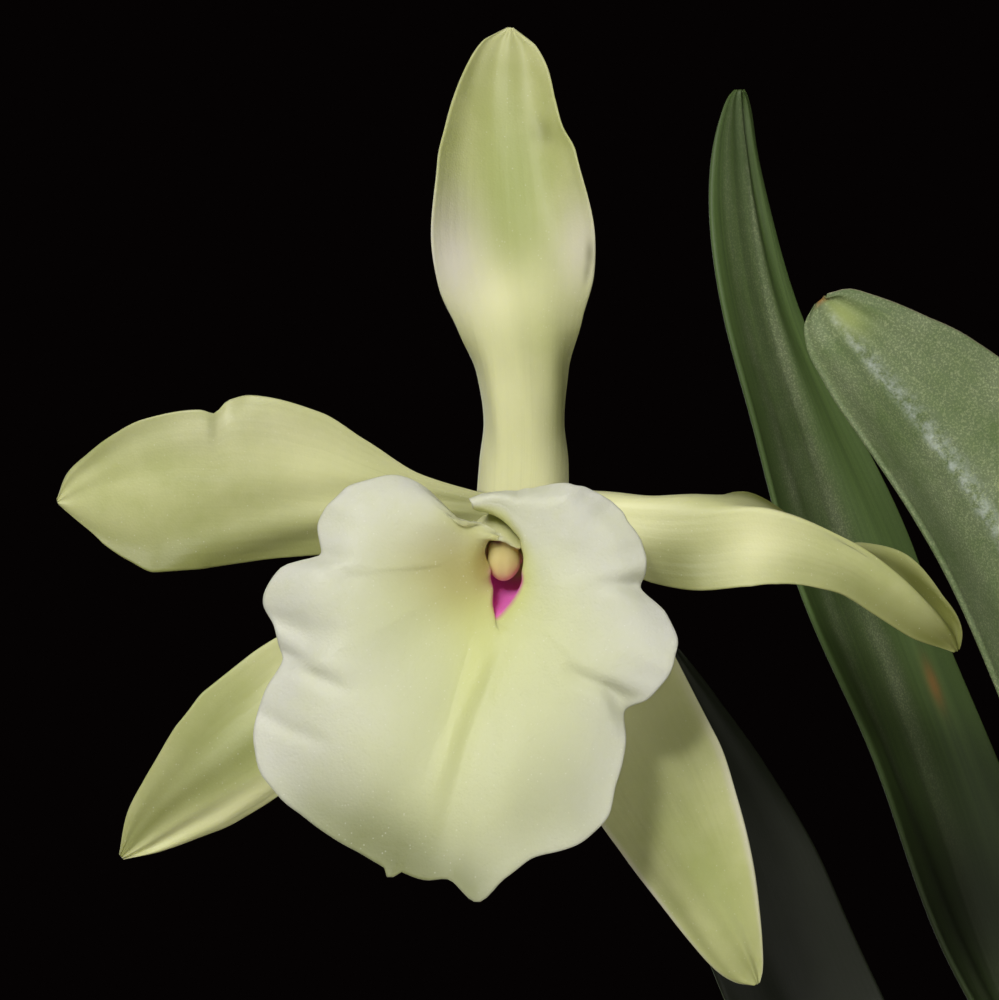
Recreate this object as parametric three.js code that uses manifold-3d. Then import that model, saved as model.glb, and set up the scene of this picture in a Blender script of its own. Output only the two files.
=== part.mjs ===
// A potted Rhyncholaelia glauca: a small orchid with one open flower, four glaucous leaves on
// swollen stems, and a plain clay pot filled with bark. Millimetres, +Z up.
// The origin is the centre of the pot's underside. The flower faces -Y.
import * as THREE from 'three';
import { mergeVertices } from 'three/addons/utils/BufferGeometryUtils.js';
import Module from 'manifold-3d';

const wasm = await Module();
wasm.setup();

// Pot: a standard clay pot of 124 mm across its rim.
const POT_HEIGHT = 105;
const POT_BASE_RADIUS = 42;
const POT_SHOULDER_RADIUS = 57;
const POT_RIM_RADIUS = 62;
const POT_RIM_HEIGHT = 22;
const POT_WALL = 5;
const POT_FLOOR = 6;
const DRAIN_HOLE_RADIUS = 4;
const DRAIN_HOLE_RING = 24;
const DRAIN_HOLES = 4;
const POT_SIDES = 32;

// Air gap between pieces that touch on the real plant.
const GAP = 0.3;

// Bark: the top of the filling, and the chips that stand out of it.
const BARK_TOP = 92;
const CHIP_COUNT = 46;
const CHIP_SEED = 3;

// Growth line: the rhizome lies on the bark along X and carries four stems, youngest to the left.
const RHIZOME_RADIUS = 3.2;
const RHIZOME_HEIGHT = BARK_TOP + RHIZOME_RADIUS + GAP;
const STEM_FOOT = RHIZOME_HEIGHT + RHIZOME_RADIUS + GAP;
const RHIZOME_PATH = [[-29, -2, 0], [-19, 0, 0], [-1, 3, 0], [17, -1, 0], [34, 3, 0], [44, 2, 0]];
const ROOT_RADIUS = 1.5;
const ROOT_HOLE_RADIUS = 3.9;
const ROOT_HOLE_DEPTH = 14;
const ROOT_BEND = 4.5;

// Chips keep this far from the middle lines of the rhizome and the roots.
const RHIZOME_CLEARANCE = 6.5;
const ROOT_CLEARANCE = 3.4;
const CHIP_FIELD_RADIUS = 51;

// Flower: everything on it is measured from the receptacle, where petals and sepals meet.
const RECEPTACLE = [-72.4, -38, 253.7];
const TEPAL_THICKNESS = 0.8;
const LIP_THICKNESS = 0.8;
const LEAF_THICKNESS = 1.8;
const SHEATH_THICKNESS = 0.7;

// Waves along each margin of a leaf.
const MARGIN_WAVES = 3;

// Direction that a blade's upper face looks when its roll is 0.
const TOWARDS_VIEWER = new THREE.Vector3(0, -1, 0);

const COLOURS = {
  clay: 0xb5694a,
  bark: 0x5a3d29,
  rhizome: 0x6f6a3f,
  root: 0xd9d6c4,
  stem: 0x7f8c5a,
  leaf: 0x6b8058,
  sheath: 0xa9a878,
  stalk: 0x9aa866,
  tepal: 0xc5cb8c,
  lip: 0xdedfcc,
  column: 0xd5d69c,
  anther: 0xd8c98a,
};

const vector = (p) => new THREE.Vector3(p[0], p[1], p[2]);
const radians = (degrees) => degrees * Math.PI / 180;
const lerp = (a, b, t) => a + (b - a) * t;

// Seeded generator of numbers from 0 to 1.
function seededRandom(seed) {
  let state = seed >>> 0;
  return () => {
    state = (state + 0x6d2b79f5) >>> 0;
    let t = state;
    t = Math.imul(t ^ (t >>> 15), t | 1);
    t ^= t + Math.imul(t ^ (t >>> 7), t | 61);
    return ((t ^ (t >>> 14)) >>> 0) / 4294967296;
  };
}

// Smooth value at x from rows sorted by their first number. Each row is [x, value, value, ...].
function stationValue(rows, column, x) {
  const last = rows.length - 1;
  if (x <= rows[0][0]) return rows[0][column];
  if (x >= rows[last][0]) return rows[last][column];
  let i = 0;
  while (x > rows[i + 1][0]) i += 1;
  const slope = (a, b) => (rows[b][column] - rows[a][column]) / (rows[b][0] - rows[a][0]);
  const limited = (k) => {
    if (k === 0) return slope(0, 1);
    if (k === last) return slope(last - 1, last);
    const before = slope(k - 1, k);
    const after = slope(k, k + 1);
    if (before * after <= 0) return 0;
    return 2 * before * after / (before + after);
  };
  const width = rows[i + 1][0] - rows[i][0];
  const t = (x - rows[i][0]) / width;
  const a = rows[i][column];
  const b = rows[i + 1][column];
  const h00 = (1 + 2 * t) * (1 - t) * (1 - t);
  const h10 = t * (1 - t) * (1 - t);
  const h01 = t * t * (3 - 2 * t);
  const h11 = t * t * (t - 1);
  return h00 * a + h10 * width * limited(i) + h01 * b + h11 * width * limited(i + 1);
}

// Closed geometry from vertices and triangles.
function solidFrom(vertices, triangles) {
  const geometry = new THREE.BufferGeometry();
  geometry.setAttribute('position', new THREE.Float32BufferAttribute(vertices.flatMap((v) => [v.x, v.y, v.z]), 3));
  geometry.setIndex(triangles);
  geometry.computeVertexNormals();
  return geometry;
}

// Gives a surface, as rows of points, a thickness. Both faces are split along the same diagonals.
function sheet(rows, thickness) {
  const count = rows.length;
  const width = rows[0].length;
  const at = (i, j) => rows[Math.min(Math.max(i, 0), count - 1)][Math.min(Math.max(j, 0), width - 1)];
  const front = [];
  const back = [];
  for (let i = 0; i < count; i += 1) {
    for (let j = 0; j < width; j += 1) {
      const along = at(i + 1, j).clone().sub(at(i - 1, j));
      const across = at(i, j + 1).clone().sub(at(i, j - 1));
      const normal = across.cross(along).normalize();
      front.push(rows[i][j].clone().addScaledVector(normal, thickness / 2));
      back.push(rows[i][j].clone().addScaledVector(normal, -thickness / 2));
    }
  }
  const offset = front.length;
  const triangles = [];
  const index = (i, j) => i * width + j;
  for (let i = 0; i < count - 1; i += 1) {
    for (let j = 0; j < width - 1; j += 1) {
      const a = index(i, j);
      const b = index(i, j + 1);
      const c = index(i + 1, j + 1);
      const d = index(i + 1, j);
      triangles.push(a, b, c, a, c, d);
      triangles.push(offset + a, offset + c, offset + b, offset + a, offset + d, offset + c);
    }
  }
  const rim = [];
  for (let j = 0; j < width - 1; j += 1) rim.push(index(0, j));
  for (let i = 0; i < count - 1; i += 1) rim.push(index(i, width - 1));
  for (let j = width - 1; j > 0; j -= 1) rim.push(index(count - 1, j));
  for (let i = count - 1; i > 0; i -= 1) rim.push(index(i, 0));
  rim.forEach((a, k) => {
    const b = rim[(k + 1) % rim.length];
    triangles.push(a, offset + b, b, a, offset + a, offset + b);
  });
  return solidFrom([...front, ...back], triangles);
}

// Offset of a point on half a blade: its cross-section bends evenly from keel to curl, in degrees.
// Positive angles turn the half towards the blade's upper face.
function halfSection(arc, share, keel, curl) {
  const start = radians(keel);
  const bend = radians(curl - keel);
  if (Math.abs(bend) < 1e-4) {
    return [arc * share * Math.cos(start), arc * share * Math.sin(start)];
  }
  const end = start + bend * share;
  return [arc * (Math.sin(end) - Math.sin(start)) / bend, arc * (Math.cos(start) - Math.cos(end)) / bend];
}

// Rows of points of a leaf, petal or sepal. spec.path is its midrib from base to tip. Each station
// is [place along the midrib, left width, right width, left keel, right keel, left curl, right
// curl, roll]; left and right are as seen from the upper face with the tip upwards.
function bladeRows(spec, rowCount, columnCount) {
  const curve = new THREE.CatmullRomCurve3(spec.path.map(vector));
  const rows = [];
  for (let i = 0; i <= rowCount; i += 1) {
    const at = 1 - (1 - i / rowCount) ** 1.25;
    const value = (column) => stationValue(spec.stations, column, at);
    const centre = curve.getPointAt(at);
    const tangent = curve.getTangentAt(at);
    const side = tangent.clone().cross(TOWARDS_VIEWER).normalize();
    side.applyAxisAngle(tangent, radians(value(7)));
    const upper = side.clone().cross(tangent).normalize();
    const row = [];
    for (let j = -columnCount; j <= columnCount; j += 1) {
      const share = Math.abs(j) / columnCount;
      const right = j > 0;
      const [out, lift] = halfSection(value(right ? 2 : 1), share, value(right ? 4 : 3), value(right ? 6 : 5));
      const phase = MARGIN_WAVES * at + (right ? 0.3 : 0);
      const wave = (spec.wave ?? 0) * share * share * Math.sin(2 * Math.PI * phase);
      row.push(centre.clone()
        .addScaledVector(side, right ? out : -out)
        .addScaledVector(upper, lift + wave));
    }
    rows.push(row);
  }
  return rows;
}

// Closed body swept along a path. Each section is [place, half width, half depth]; wide is the
// direction of the half width.
function loft(path, sections, wide, sides, steps) {
  const curve = new THREE.CatmullRomCurve3(path.map(vector));
  const vertices = [];
  for (let i = 0; i <= steps; i += 1) {
    const at = i / steps;
    const centre = curve.getPointAt(at);
    const tangent = curve.getTangentAt(at);
    const across = wide.clone().addScaledVector(tangent, -wide.dot(tangent)).normalize();
    const deep = tangent.clone().cross(across);
    for (let k = 0; k < sides; k += 1) {
      const angle = 2 * Math.PI * k / sides;
      vertices.push(centre.clone()
        .addScaledVector(across, stationValue(sections, 1, at) * Math.cos(angle))
        .addScaledVector(deep, stationValue(sections, 2, at) * Math.sin(angle)));
    }
  }
  const triangles = [];
  for (let i = 0; i < steps; i += 1) {
    for (let k = 0; k < sides; k += 1) {
      const a = i * sides + k;
      const b = i * sides + (k + 1) % sides;
      triangles.push(a, b, b + sides, a, b + sides, a + sides);
    }
  }
  const first = vertices.length;
  vertices.push(curve.getPointAt(0), curve.getPointAt(1));
  const lastRing = steps * sides;
  for (let k = 0; k < sides; k += 1) {
    triangles.push(first, (k + 1) % sides, k);
    triangles.push(first + 1, lastRing + k, lastRing + (k + 1) % sides);
  }
  return solidFrom(vertices, triangles);
}

// Exact solid of a closed geometry, for joining and cutting.
function toSolid(geometry) {
  const bare = geometry.clone();
  bare.deleteAttribute('normal');
  bare.deleteAttribute('uv');
  const merged = mergeVertices(bare, 1e-4);
  return new wasm.Manifold(new wasm.Mesh({
    numProp: 3,
    vertProperties: merged.getAttribute('position').array,
    triVerts: new Uint32Array(merged.getIndex().array),
  }));
}

function toGeometry(solid) {
  const result = solid.getMesh();
  const geometry = new THREE.BufferGeometry();
  geometry.setAttribute('position', new THREE.BufferAttribute(new Float32Array(result.vertProperties), 3));
  geometry.setIndex(new THREE.BufferAttribute(new Uint32Array(result.triVerts), 1));
  geometry.computeVertexNormals();
  return geometry;
}

function piece(name, geometry, colour, roughness) {
  const material = new THREE.MeshStandardMaterial({ color: colour, roughness, metalness: 0 });
  const mesh = new THREE.Mesh(geometry, material);
  mesh.name = name;
  return mesh;
}

// Lathe about Z: profile points are [radius, height].
function turned(profile, sides) {
  const geometry = new THREE.LatheGeometry(profile.map(([r, z]) => new THREE.Vector2(r, z)), sides);
  return geometry.rotateX(Math.PI / 2);
}

// Pot

const shoulderHeight = POT_HEIGHT - POT_RIM_HEIGHT;
const potInnerRadius = (z) => lerp(POT_BASE_RADIUS - POT_WALL, POT_SHOULDER_RADIUS - POT_WALL, z / shoulderHeight);

function makePot() {
  const profile = [
    [0, 0],
    [POT_BASE_RADIUS - 1, 0],
    [POT_BASE_RADIUS, 1],
    [POT_SHOULDER_RADIUS, shoulderHeight],
    [POT_RIM_RADIUS - 1.5, shoulderHeight + 0.5],
    [POT_RIM_RADIUS - 0.5, shoulderHeight + 2],
    [POT_RIM_RADIUS, POT_HEIGHT - 2.5],
    [POT_RIM_RADIUS - 2, POT_HEIGHT],
    [potInnerRadius(POT_HEIGHT) + 1, POT_HEIGHT],
    [potInnerRadius(POT_HEIGHT - 2), POT_HEIGHT - 2],
    [potInnerRadius(POT_FLOOR + 2), POT_FLOOR + 2],
    [potInnerRadius(POT_FLOOR) - 2, POT_FLOOR],
    [0, POT_FLOOR],
  ];
  let pot = toSolid(turned(profile, POT_SIDES));
  for (let i = 0; i < DRAIN_HOLES; i += 1) {
    const angle = 2 * Math.PI * (i + 0.5) / DRAIN_HOLES;
    const hole = new THREE.CylinderGeometry(DRAIN_HOLE_RADIUS, DRAIN_HOLE_RADIUS, 4 * POT_FLOOR, 12);
    hole.rotateX(Math.PI / 2);
    hole.translate(DRAIN_HOLE_RING * Math.cos(angle), DRAIN_HOLE_RING * Math.sin(angle), 0);
    pot = pot.subtract(toSolid(hole));
  }
  return piece('pot', toGeometry(pot), COLOURS.clay, 0.85);
}

// Roots: each starts beside the rhizome, runs over the bark and goes down into a plain hole.

const ROOTS = [
  { start: [-26, -5.6], middle: [-33, -14], end: [-36, -26] },
  { start: [-10, -4.4], middle: [-14, -18], end: [-9, -31] },
  { start: [8, -4.2], middle: [13, -16], end: [22, -27] },
  { start: [26, -4.6], middle: [33, -12], end: [43, -17] },
  { start: [6, 8.2], middle: [2, 20], end: [10, 32] },
  { start: [-22, 6.2], middle: [-31, 14], end: [-37, 24] },
];

function rootPath(root) {
  const rest = BARK_TOP + ROOT_RADIUS + GAP;
  const [sx, sy] = root.start;
  const [mx, my] = root.middle;
  const [ex, ey] = root.end;
  const length = Math.hypot(ex - mx, ey - my);
  const before = [ex - ROOT_BEND * (ex - mx) / length, ey - ROOT_BEND * (ey - my) / length];
  return [
    [sx, sy, rest + 1.2],
    [lerp(sx, mx, 0.5), lerp(sy, my, 0.5), rest + 0.5],
    [mx, my, rest + 0.2],
    [lerp(mx, before[0], 0.6), lerp(my, before[1], 0.6), rest + 0.9],
    [before[0], before[1], rest + 1.0],
    [ex - 0.25 * (ex - before[0]), ey - 0.25 * (ey - before[1]), rest - 1.6],
    [ex, ey, rest - 6],
    [ex, ey, BARK_TOP - ROOT_HOLE_DEPTH + 2],
  ];
}

function makeRoot(root, name) {
  const circle = new THREE.Shape();
  circle.absarc(0, 0, ROOT_RADIUS, 0, 2 * Math.PI, false);
  const geometry = new THREE.ExtrudeGeometry(circle, {
    steps: 11,
    curveSegments: 4,
    bevelEnabled: false,
    extrudePath: new THREE.CatmullRomCurve3(rootPath(root).map(vector)),
  });
  return piece(name, geometry, COLOURS.root, 0.8);
}

// Bark: a turned filling with its top at BARK_TOP, chips fused into it, and holes for the roots.

function clearOfPlant(x, y, reach) {
  const lines = [RHIZOME_PATH.map(([px, py]) => [px, py]), ...ROOTS.map((r) => [r.start, r.middle, r.end])];
  return lines.every((line, index) => line.every((point, k) => {
    if (k === 0) return true;
    const [ax, ay] = line[k - 1];
    const [bx, by] = point;
    const lengthSquared = (bx - ax) ** 2 + (by - ay) ** 2;
    const t = Math.min(Math.max(((x - ax) * (bx - ax) + (y - ay) * (by - ay)) / lengthSquared, 0), 1);
    const clear = reach + (index === 0 ? RHIZOME_CLEARANCE : ROOT_CLEARANCE);
    return Math.hypot(x - lerp(ax, bx, t), y - lerp(ay, by, t)) > clear;
  }));
}

function makeBark() {
  const wallGap = (z) => potInnerRadius(z) - GAP;
  const core = turned([
    [0, POT_FLOOR + GAP],
    [wallGap(POT_FLOOR) - 2.4, POT_FLOOR + GAP],
    [wallGap(POT_FLOOR + 2) - 0.3, POT_FLOOR + 2 + GAP],
    [wallGap(BARK_TOP - 2) - 0.2, BARK_TOP - 2],
    [wallGap(BARK_TOP) - 2, BARK_TOP],
    [0, BARK_TOP],
  ], POT_SIDES);
  let bark = toSolid(core);
  const random = seededRandom(CHIP_SEED);
  let placed = 0;
  for (let tries = 0; tries < 4000 && placed < CHIP_COUNT; tries += 1) {
    const angle = 2 * Math.PI * random();
    const radius = CHIP_FIELD_RADIUS * Math.sqrt(random());
    const length = lerp(7, 13, random());
    const width = lerp(4.5, 8, random());
    const height = lerp(4, 7, random());
    const turn = 2 * Math.PI * random();
    const tip = 0.35 * (random() - 0.5);
    const lean = 0.5 * (random() - 0.5);
    const x = radius * Math.cos(angle);
    const y = radius * Math.sin(angle);
    const reach = Math.hypot(length, width) / 2;
    if (radius + reach < CHIP_FIELD_RADIUS && clearOfPlant(x, y, reach)) {
      const chip = new THREE.BoxGeometry(length, width, height);
      chip.applyMatrix4(new THREE.Matrix4().makeRotationFromEuler(new THREE.Euler(tip, lean, turn, 'ZYX')));
      chip.translate(x, y, BARK_TOP + 0.2 * height);
      bark = bark.add(toSolid(chip));
      placed += 1;
    }
  }
  for (const root of ROOTS) {
    const hole = new THREE.CylinderGeometry(ROOT_HOLE_RADIUS, ROOT_HOLE_RADIUS, 2 * ROOT_HOLE_DEPTH, 12);
    hole.rotateX(Math.PI / 2);
    hole.translate(root.end[0], root.end[1], BARK_TOP);
    bark = bark.subtract(toSolid(hole));
  }
  return piece('potting_bark', toGeometry(bark), COLOURS.bark, 0.95);
}

// Rhizome and stems

function makeRhizome() {
  const path = RHIZOME_PATH.map(([x, y]) => [x, y, RHIZOME_HEIGHT]);
  const sections = [[0, 1.2, 1.2], [0.06, 2.6, 2.6]];
  for (let i = 0; i <= 8; i += 1) {
    const radius = RHIZOME_RADIUS - (i % 2) * 0.45;
    sections.push([0.12 + 0.1 * i, radius, radius]);
  }
  sections.push([1, 1.8, 1.8]);
  return piece('rhizome', loft(path, sections, new THREE.Vector3(0, 1, 0), 10, 24), COLOURS.rhizome, 0.8);
}

// Swollen stems. foot and top are [x, y] and [x, y, z]; the flat stem is widest along X.
const STEMS = [
  { foot: [-19, 0], top: [-24, -2, 158], width: 8, depth: 6.4 },
  { foot: [-1, 3], top: [-5, 7, 165], width: 8.4, depth: 5.6 },
  { foot: [17, -1], top: [17, -13, 170], width: 8.6, depth: 5.8 },
  { foot: [34, 3], top: [40, 12, 157], width: 8, depth: 5.4 },
];

function makeStem(stem, name) {
  const [fx, fy] = stem.foot;
  const [tx, ty, tz] = stem.top;
  const middle = [lerp(fx, tx, 0.45), lerp(fy, ty, 0.4), lerp(STEM_FOOT, tz, 0.5)];
  const sections = [
    [0, 1.6, 1.6],
    [0.03, 2.9, 2.7],
    [0.14, 3.6, 3.1],
    [0.16, 3.2, 2.8],
    [0.36, 0.82 * stem.width, 0.85 * stem.depth],
    [0.6, stem.width, stem.depth],
    [0.8, 0.86 * stem.width, 0.9 * stem.depth],
    [0.93, 0.6 * stem.width, 0.74 * stem.depth],
    [0.985, 0.46 * stem.width, 0.6 * stem.depth],
    [1, 0.3 * stem.width, 0.4 * stem.depth],
  ];
  const path = [[fx, fy, STEM_FOOT], middle, [tx, ty, tz]];
  return piece(name, loft(path, sections, new THREE.Vector3(1, 0, 0), 12, 14), COLOURS.stem, 0.6);
}

// Leaves: stiff blades folded at the foot and open above. Rows as in bladeRows.

const LEAVES = {
  leaf_front: {
    path: [[17, -13.2, 170.9], [13.5, -17, 188], [6, -20, 206], [-6.7, -23, 234.5], [-20.2, -25, 258.4],
      [-31, -26, 272], [-37, -26, 279.7]],
    stations: [
      [0, 2.6, 2.6, 62, 62, 40, 40, 0],
      [0.12, 7, 7, 48, 40, 30, 20, 0],
      [0.32, 13, 13, 42, 16, 46, 6, 0],
      [0.55, 15, 15.4, 42, 4, 58, -4, 0],
      [0.76, 13.8, 14.6, 44, 0, 66, -6, 0],
      [0.88, 11, 11.2, 42, 0, 62, -6, 0],
      [0.94, 7.6, 7.8, 34, 0, 46, -4, 0],
      [0.975, 4.6, 4.8, 16, 0, 20, 0, 0],
      [1, 1.5, 1.8, 4, 0, 4, 0, 0],
    ],
    wave: 0.4,
  },
  leaf_back: {
    path: [[-5, 7.4, 166], [-9.5, 9.5, 185], [-16.4, 12, 203], [-24, 13, 225.8], [-31, 12.5, 244.7],
      [-37.6, 12, 264.8], [-42, 12, 280], [-44.6, 12, 297], [-45, 12, 307.6]],
    stations: [
      [0, 2.6, 2.6, 60, 60, 40, 40, 10],
      [0.14, 7, 7, 44, 44, 30, 30, 30],
      [0.35, 12, 12.4, 24, 24, 14, 14, 48],
      [0.55, 13.2, 12.6, 18, 18, 8, 8, 50],
      [0.72, 11.4, 8.8, 16, 16, 8, 8, 50],
      [0.86, 8.6, 5.2, 14, 14, 8, 8, 48],
      [0.95, 4.8, 2.5, 10, 10, 6, 6, 46],
      [1, 0.9, 0.9, 6, 6, 4, 4, 46],
    ],
    wave: 0.5,
  },
  leaf_lower: {
    path: [[-24.2, -5.4, 158.6], [-30, -8.6, 175], [-38, -10, 195], [-46, -9, 217], [-51.5, -7, 231],
      [-54, -6, 237.5]],
    stations: [
      [0, 2.4, 2.4, 56, 56, 36, 36, 0],
      [0.16, 6.4, 6.4, 36, 36, 22, 22, 8],
      [0.42, 11, 9.4, 20, 20, 10, 10, 22],
      [0.62, 11.4, 8.4, 14, 14, 6, 6, 28],
      [0.8, 9, 6.2, 12, 12, 4, 4, 28],
      [0.93, 4.8, 3, 10, 10, 4, 4, 28],
      [1, 0.9, 0.9, 6, 6, 2, 2, 28],
    ],
    wave: 0.4,
  },
  leaf_side: {
    path: [[40.4, 12.2, 158], [44.5, 17, 172], [51, 24, 192], [59, 33, 216], [66, 41, 240], [70, 46, 258]],
    stations: [
      [0, 2.5, 2.5, 60, 60, 40, 40, 0],
      [0.14, 7, 7, 44, 44, 30, 30, -4],
      [0.4, 13, 13, 26, 26, 14, 14, -8],
      [0.62, 14.4, 14.4, 20, 20, 8, 8, -10],
      [0.82, 11.4, 11.4, 16, 16, 6, 6, -10],
      [0.94, 6.2, 6.2, 12, 12, 4, 4, -10],
      [1, 1.4, 1.4, 6, 6, 2, 2, -10],
    ],
    wave: 0.5,
  },
};

// Flower stalk and the flat sheath that it grows out of

const STALK_PATH = [[-24, -0.3, 159.2], [-30, 0.8, 175], [-43, 2, 203], [-56, 0, 229], [-66.5, -10, 246],
  [-71.4, -24, 252.6], [-72.4, -33, 253.6], [-72.4, -37.4, 253.7]];

function makeStalk() {
  const sections = [
    [0, 1.2, 1.2], [0.03, 2, 2], [0.5, 1.9, 1.9], [0.7, 2.3, 2.3], [0.86, 2.6, 2.6],
    [0.95, 2.1, 2.1], [0.985, 2.2, 2.2], [1, 1.9, 1.9],
  ];
  return piece('flower_stalk', loft(STALK_PATH, sections, new THREE.Vector3(0, 1, 0), 10, 30), COLOURS.stalk, 0.5);
}

const FLOWER_SHEATH = {
  path: [[-24, 3.2, 158.8], [-27, 4.2, 167], [-31.2, 5, 177], [-36.6, 5.4, 189], [-41, 5.6, 198]],
  stations: [
    [0, 9.2, 9.2, 0, 0, 150, 150, 0],
    [0.3, 10.2, 10.2, 0, 0, 150, 150, 0],
    [0.6, 10.2, 10.2, 0, 0, 146, 146, 0],
    [0.8, 7.4, 7.4, 0, 0, 120, 120, 0],
    [0.93, 3.6, 3.6, 0, 0, 60, 60, 0],
    [1, 0.6, 0.6, 0, 0, 10, 10, 0],
  ],
};

// Sepals and petals, measured from the receptacle. Rows as in bladeRows.

const TEPALS = {
  sepal_dorsal: {
    path: [[0.1, 1.5, 2.5], [0.3, 0.7, 8], [0.2, -1.2, 15], [-0.2, -2.8, 22], [-1.1, -2.6, 33],
      [-1.8, -0.6, 44], [-1.9, 1.2, 51], [-1.3, 1.6, 57.3]],
    stations: [
      [0, 6.4, 6.4, 0, 0, -60, -60, 0],
      [0.07, 6.7, 6.7, 0, 0, -72, -72, 0],
      [0.14, 6.9, 6.9, 0, 0, -88, -88, 0],
      [0.25, 6.8, 6.8, 0, 0, -70, -70, 0],
      [0.37, 7.5, 7.5, 0, 0, -22, -22, 0],
      [0.46, 9.1, 9.1, 0, 0, 14, 14, 0],
      [0.57, 10.2, 10.2, 8, 8, 36, 36, 0],
      [0.7, 9.5, 9.5, 12, 12, 50, 50, 0],
      [0.82, 7.3, 7.3, 14, 14, 52, 52, 0],
      [0.91, 5, 5.2, 12, 12, 50, 50, 0],
      [0.965, 2.9, 3.1, 8, 8, 40, 40, 0],
      [1, 0.4, 0.4, 0, 0, 0, 0, 0],
    ],
  },
  petal_left: {
    path: [[-2.9, -0.3, 0.3], [-12, -1.6, 1.8], [-19.4, -2.6, 2.9], [-30.7, -3.2, 4.2], [-41.9, -2, 4.4],
      [-50, 0, 3.4], [-54, 1, 2.1]],
    stations: [
      [0, 2.2, 2.2, 0, 0, 0, 0, 0],
      [0.18, 4.4, 3.6, -6, -4, -20, -20, 0],
      [0.32, 6.8, 6.6, -6, 4, -22, 0, 0],
      [0.42, 8, 9, -6, 6, -18, 6, 0],
      [0.56, 9.4, 10.2, -8, 10, -10, 0, 0],
      [0.625, 9.8, 9.6, -8, 10, -6, -14, 0],
      [0.655, 10.1, 8, -8, 8, -4, 4, 0],
      [0.7, 10.5, 8.5, -8, 6, 4, 10, 0],
      [0.78, 10.5, 7.7, -8, 4, 10, 8, 0],
      [0.85, 8.8, 6.4, -6, 4, 10, 6, 0],
      [0.91, 6.6, 4.6, -4, 2, 8, 4, 0],
      [0.96, 3.8, 2.6, 0, 0, 4, 4, 0],
      [1, 0.4, 0.4, 0, 0, 0, 0, 0],
    ],
  },
  petal_right: {
    path: [[2.9, -0.3, 0.3], [9, -1.4, 0.9], [16, -2.6, 0.4], [20.7, -3.4, 0.6], [26.6, -3.8, 1.1], [31.6, -4, 0.1],
      [36.5, -4, -1.9], [40, -3.8, -3.8], [44, -3.2, -7], [47.2, -2.2, -10.4], [49.4, -1, -13.2], [50.5, 0, -15.2]],
    stations: [
      [0, 2.2, 2.2, 0, 0, 0, 0, 0],
      [0.12, 4.4, 4.6, -16, 0, -100, -6, 0],
      [0.24, 6.6, 7.8, -20, 6, -136, -4, 0],
      [0.33, 7.8, 8.8, -38, 6, -122, 8, 0],
      [0.44, 8.4, 9.3, -88, 0, -66, 18, 0],
      [0.53, 8.6, 8, -105, -6, -74, 20, 0],
      [0.62, 8.2, 6.7, -115, -10, -88, 16, 0],
      [0.7, 7.6, 5.8, -108, -10, -60, 10, 0],
      [0.8, 6.8, 5.2, -104, -8, -22, 4, 0],
      [0.9, 4.6, 3.9, -96, -6, -14, 4, 0],
      [0.96, 2.4, 2.2, -60, -4, -6, 2, 0],
      [1, 0.4, 0.4, 0, 0, 0, 0, 0],
    ],
  },
  sepal_left: {
    path: [[-2, 1.6, -1.9], [-12, 0.9, -12.6], [-22, -0.3, -21.6], [-31.1, -1, -28.6], [-35.5, -0.8, -31.3],
      [-40.3, 0, -34.2], [-43.2, 0.6, -36.2], [-46.6, 1, -39.2]],
    stations: [
      [0, 1.4, 2.4, 0, 0, 0, 0, 0],
      [0.2, 5.4, 7, -20, -6, -20, -6, 0],
      [0.4, 7, 10, -34, -8, -34, -4, 0],
      [0.55, 6.6, 11.2, -40, -8, -40, 0, 0],
      [0.67, 5.6, 10.6, -40, -8, -38, 6, 0],
      [0.76, 5.5, 8.3, -38, -6, -36, 8, 0],
      [0.86, 4.3, 5.2, -34, -4, -32, 6, 0],
      [0.93, 3, 3.1, -28, -2, -26, 4, 0],
      [1, 0.4, 0.4, 0, 0, 0, 0, 0],
    ],
  },
  sepal_right: {
    path: [[1.7, 1.6, -2.3], [10, 0.5, -19], [18.3, -0.6, -35], [21.3, -0.5, -41], [24, -0.1, -47], [27.3, 0.6, -54]],
    stations: [
      [0, 2.4, 1.4, 0, 0, 0, 0, 0],
      [0.18, 6.4, 6, 0, 0, -8, -8, 0],
      [0.35, 8.4, 8.4, 6, -4, 4, -10, 0],
      [0.52, 8.9, 8.9, 8, -8, 8, -14, 0],
      [0.65, 7.7, 7.8, 8, -10, 10, -14, 0],
      [0.77, 6, 6.2, 8, -10, 8, -10, 0],
      [0.87, 4.1, 4.3, 6, -8, 6, -6, 0],
      [0.94, 2.4, 2.6, 4, -4, 4, -2, 0],
      [1, 0.4, 0.4, 0, 0, 0, 0, 0],
    ],
  },
};

// Lip: a tube rolled round the column that opens into a broad, waved limb. Angles are in degrees
// about the throat, 0 downwards and 90 to the right. A ring row is [angle, radius, depth], and the
// rings run from the claw to the margin. The left edge tucks in under the right one.

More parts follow.
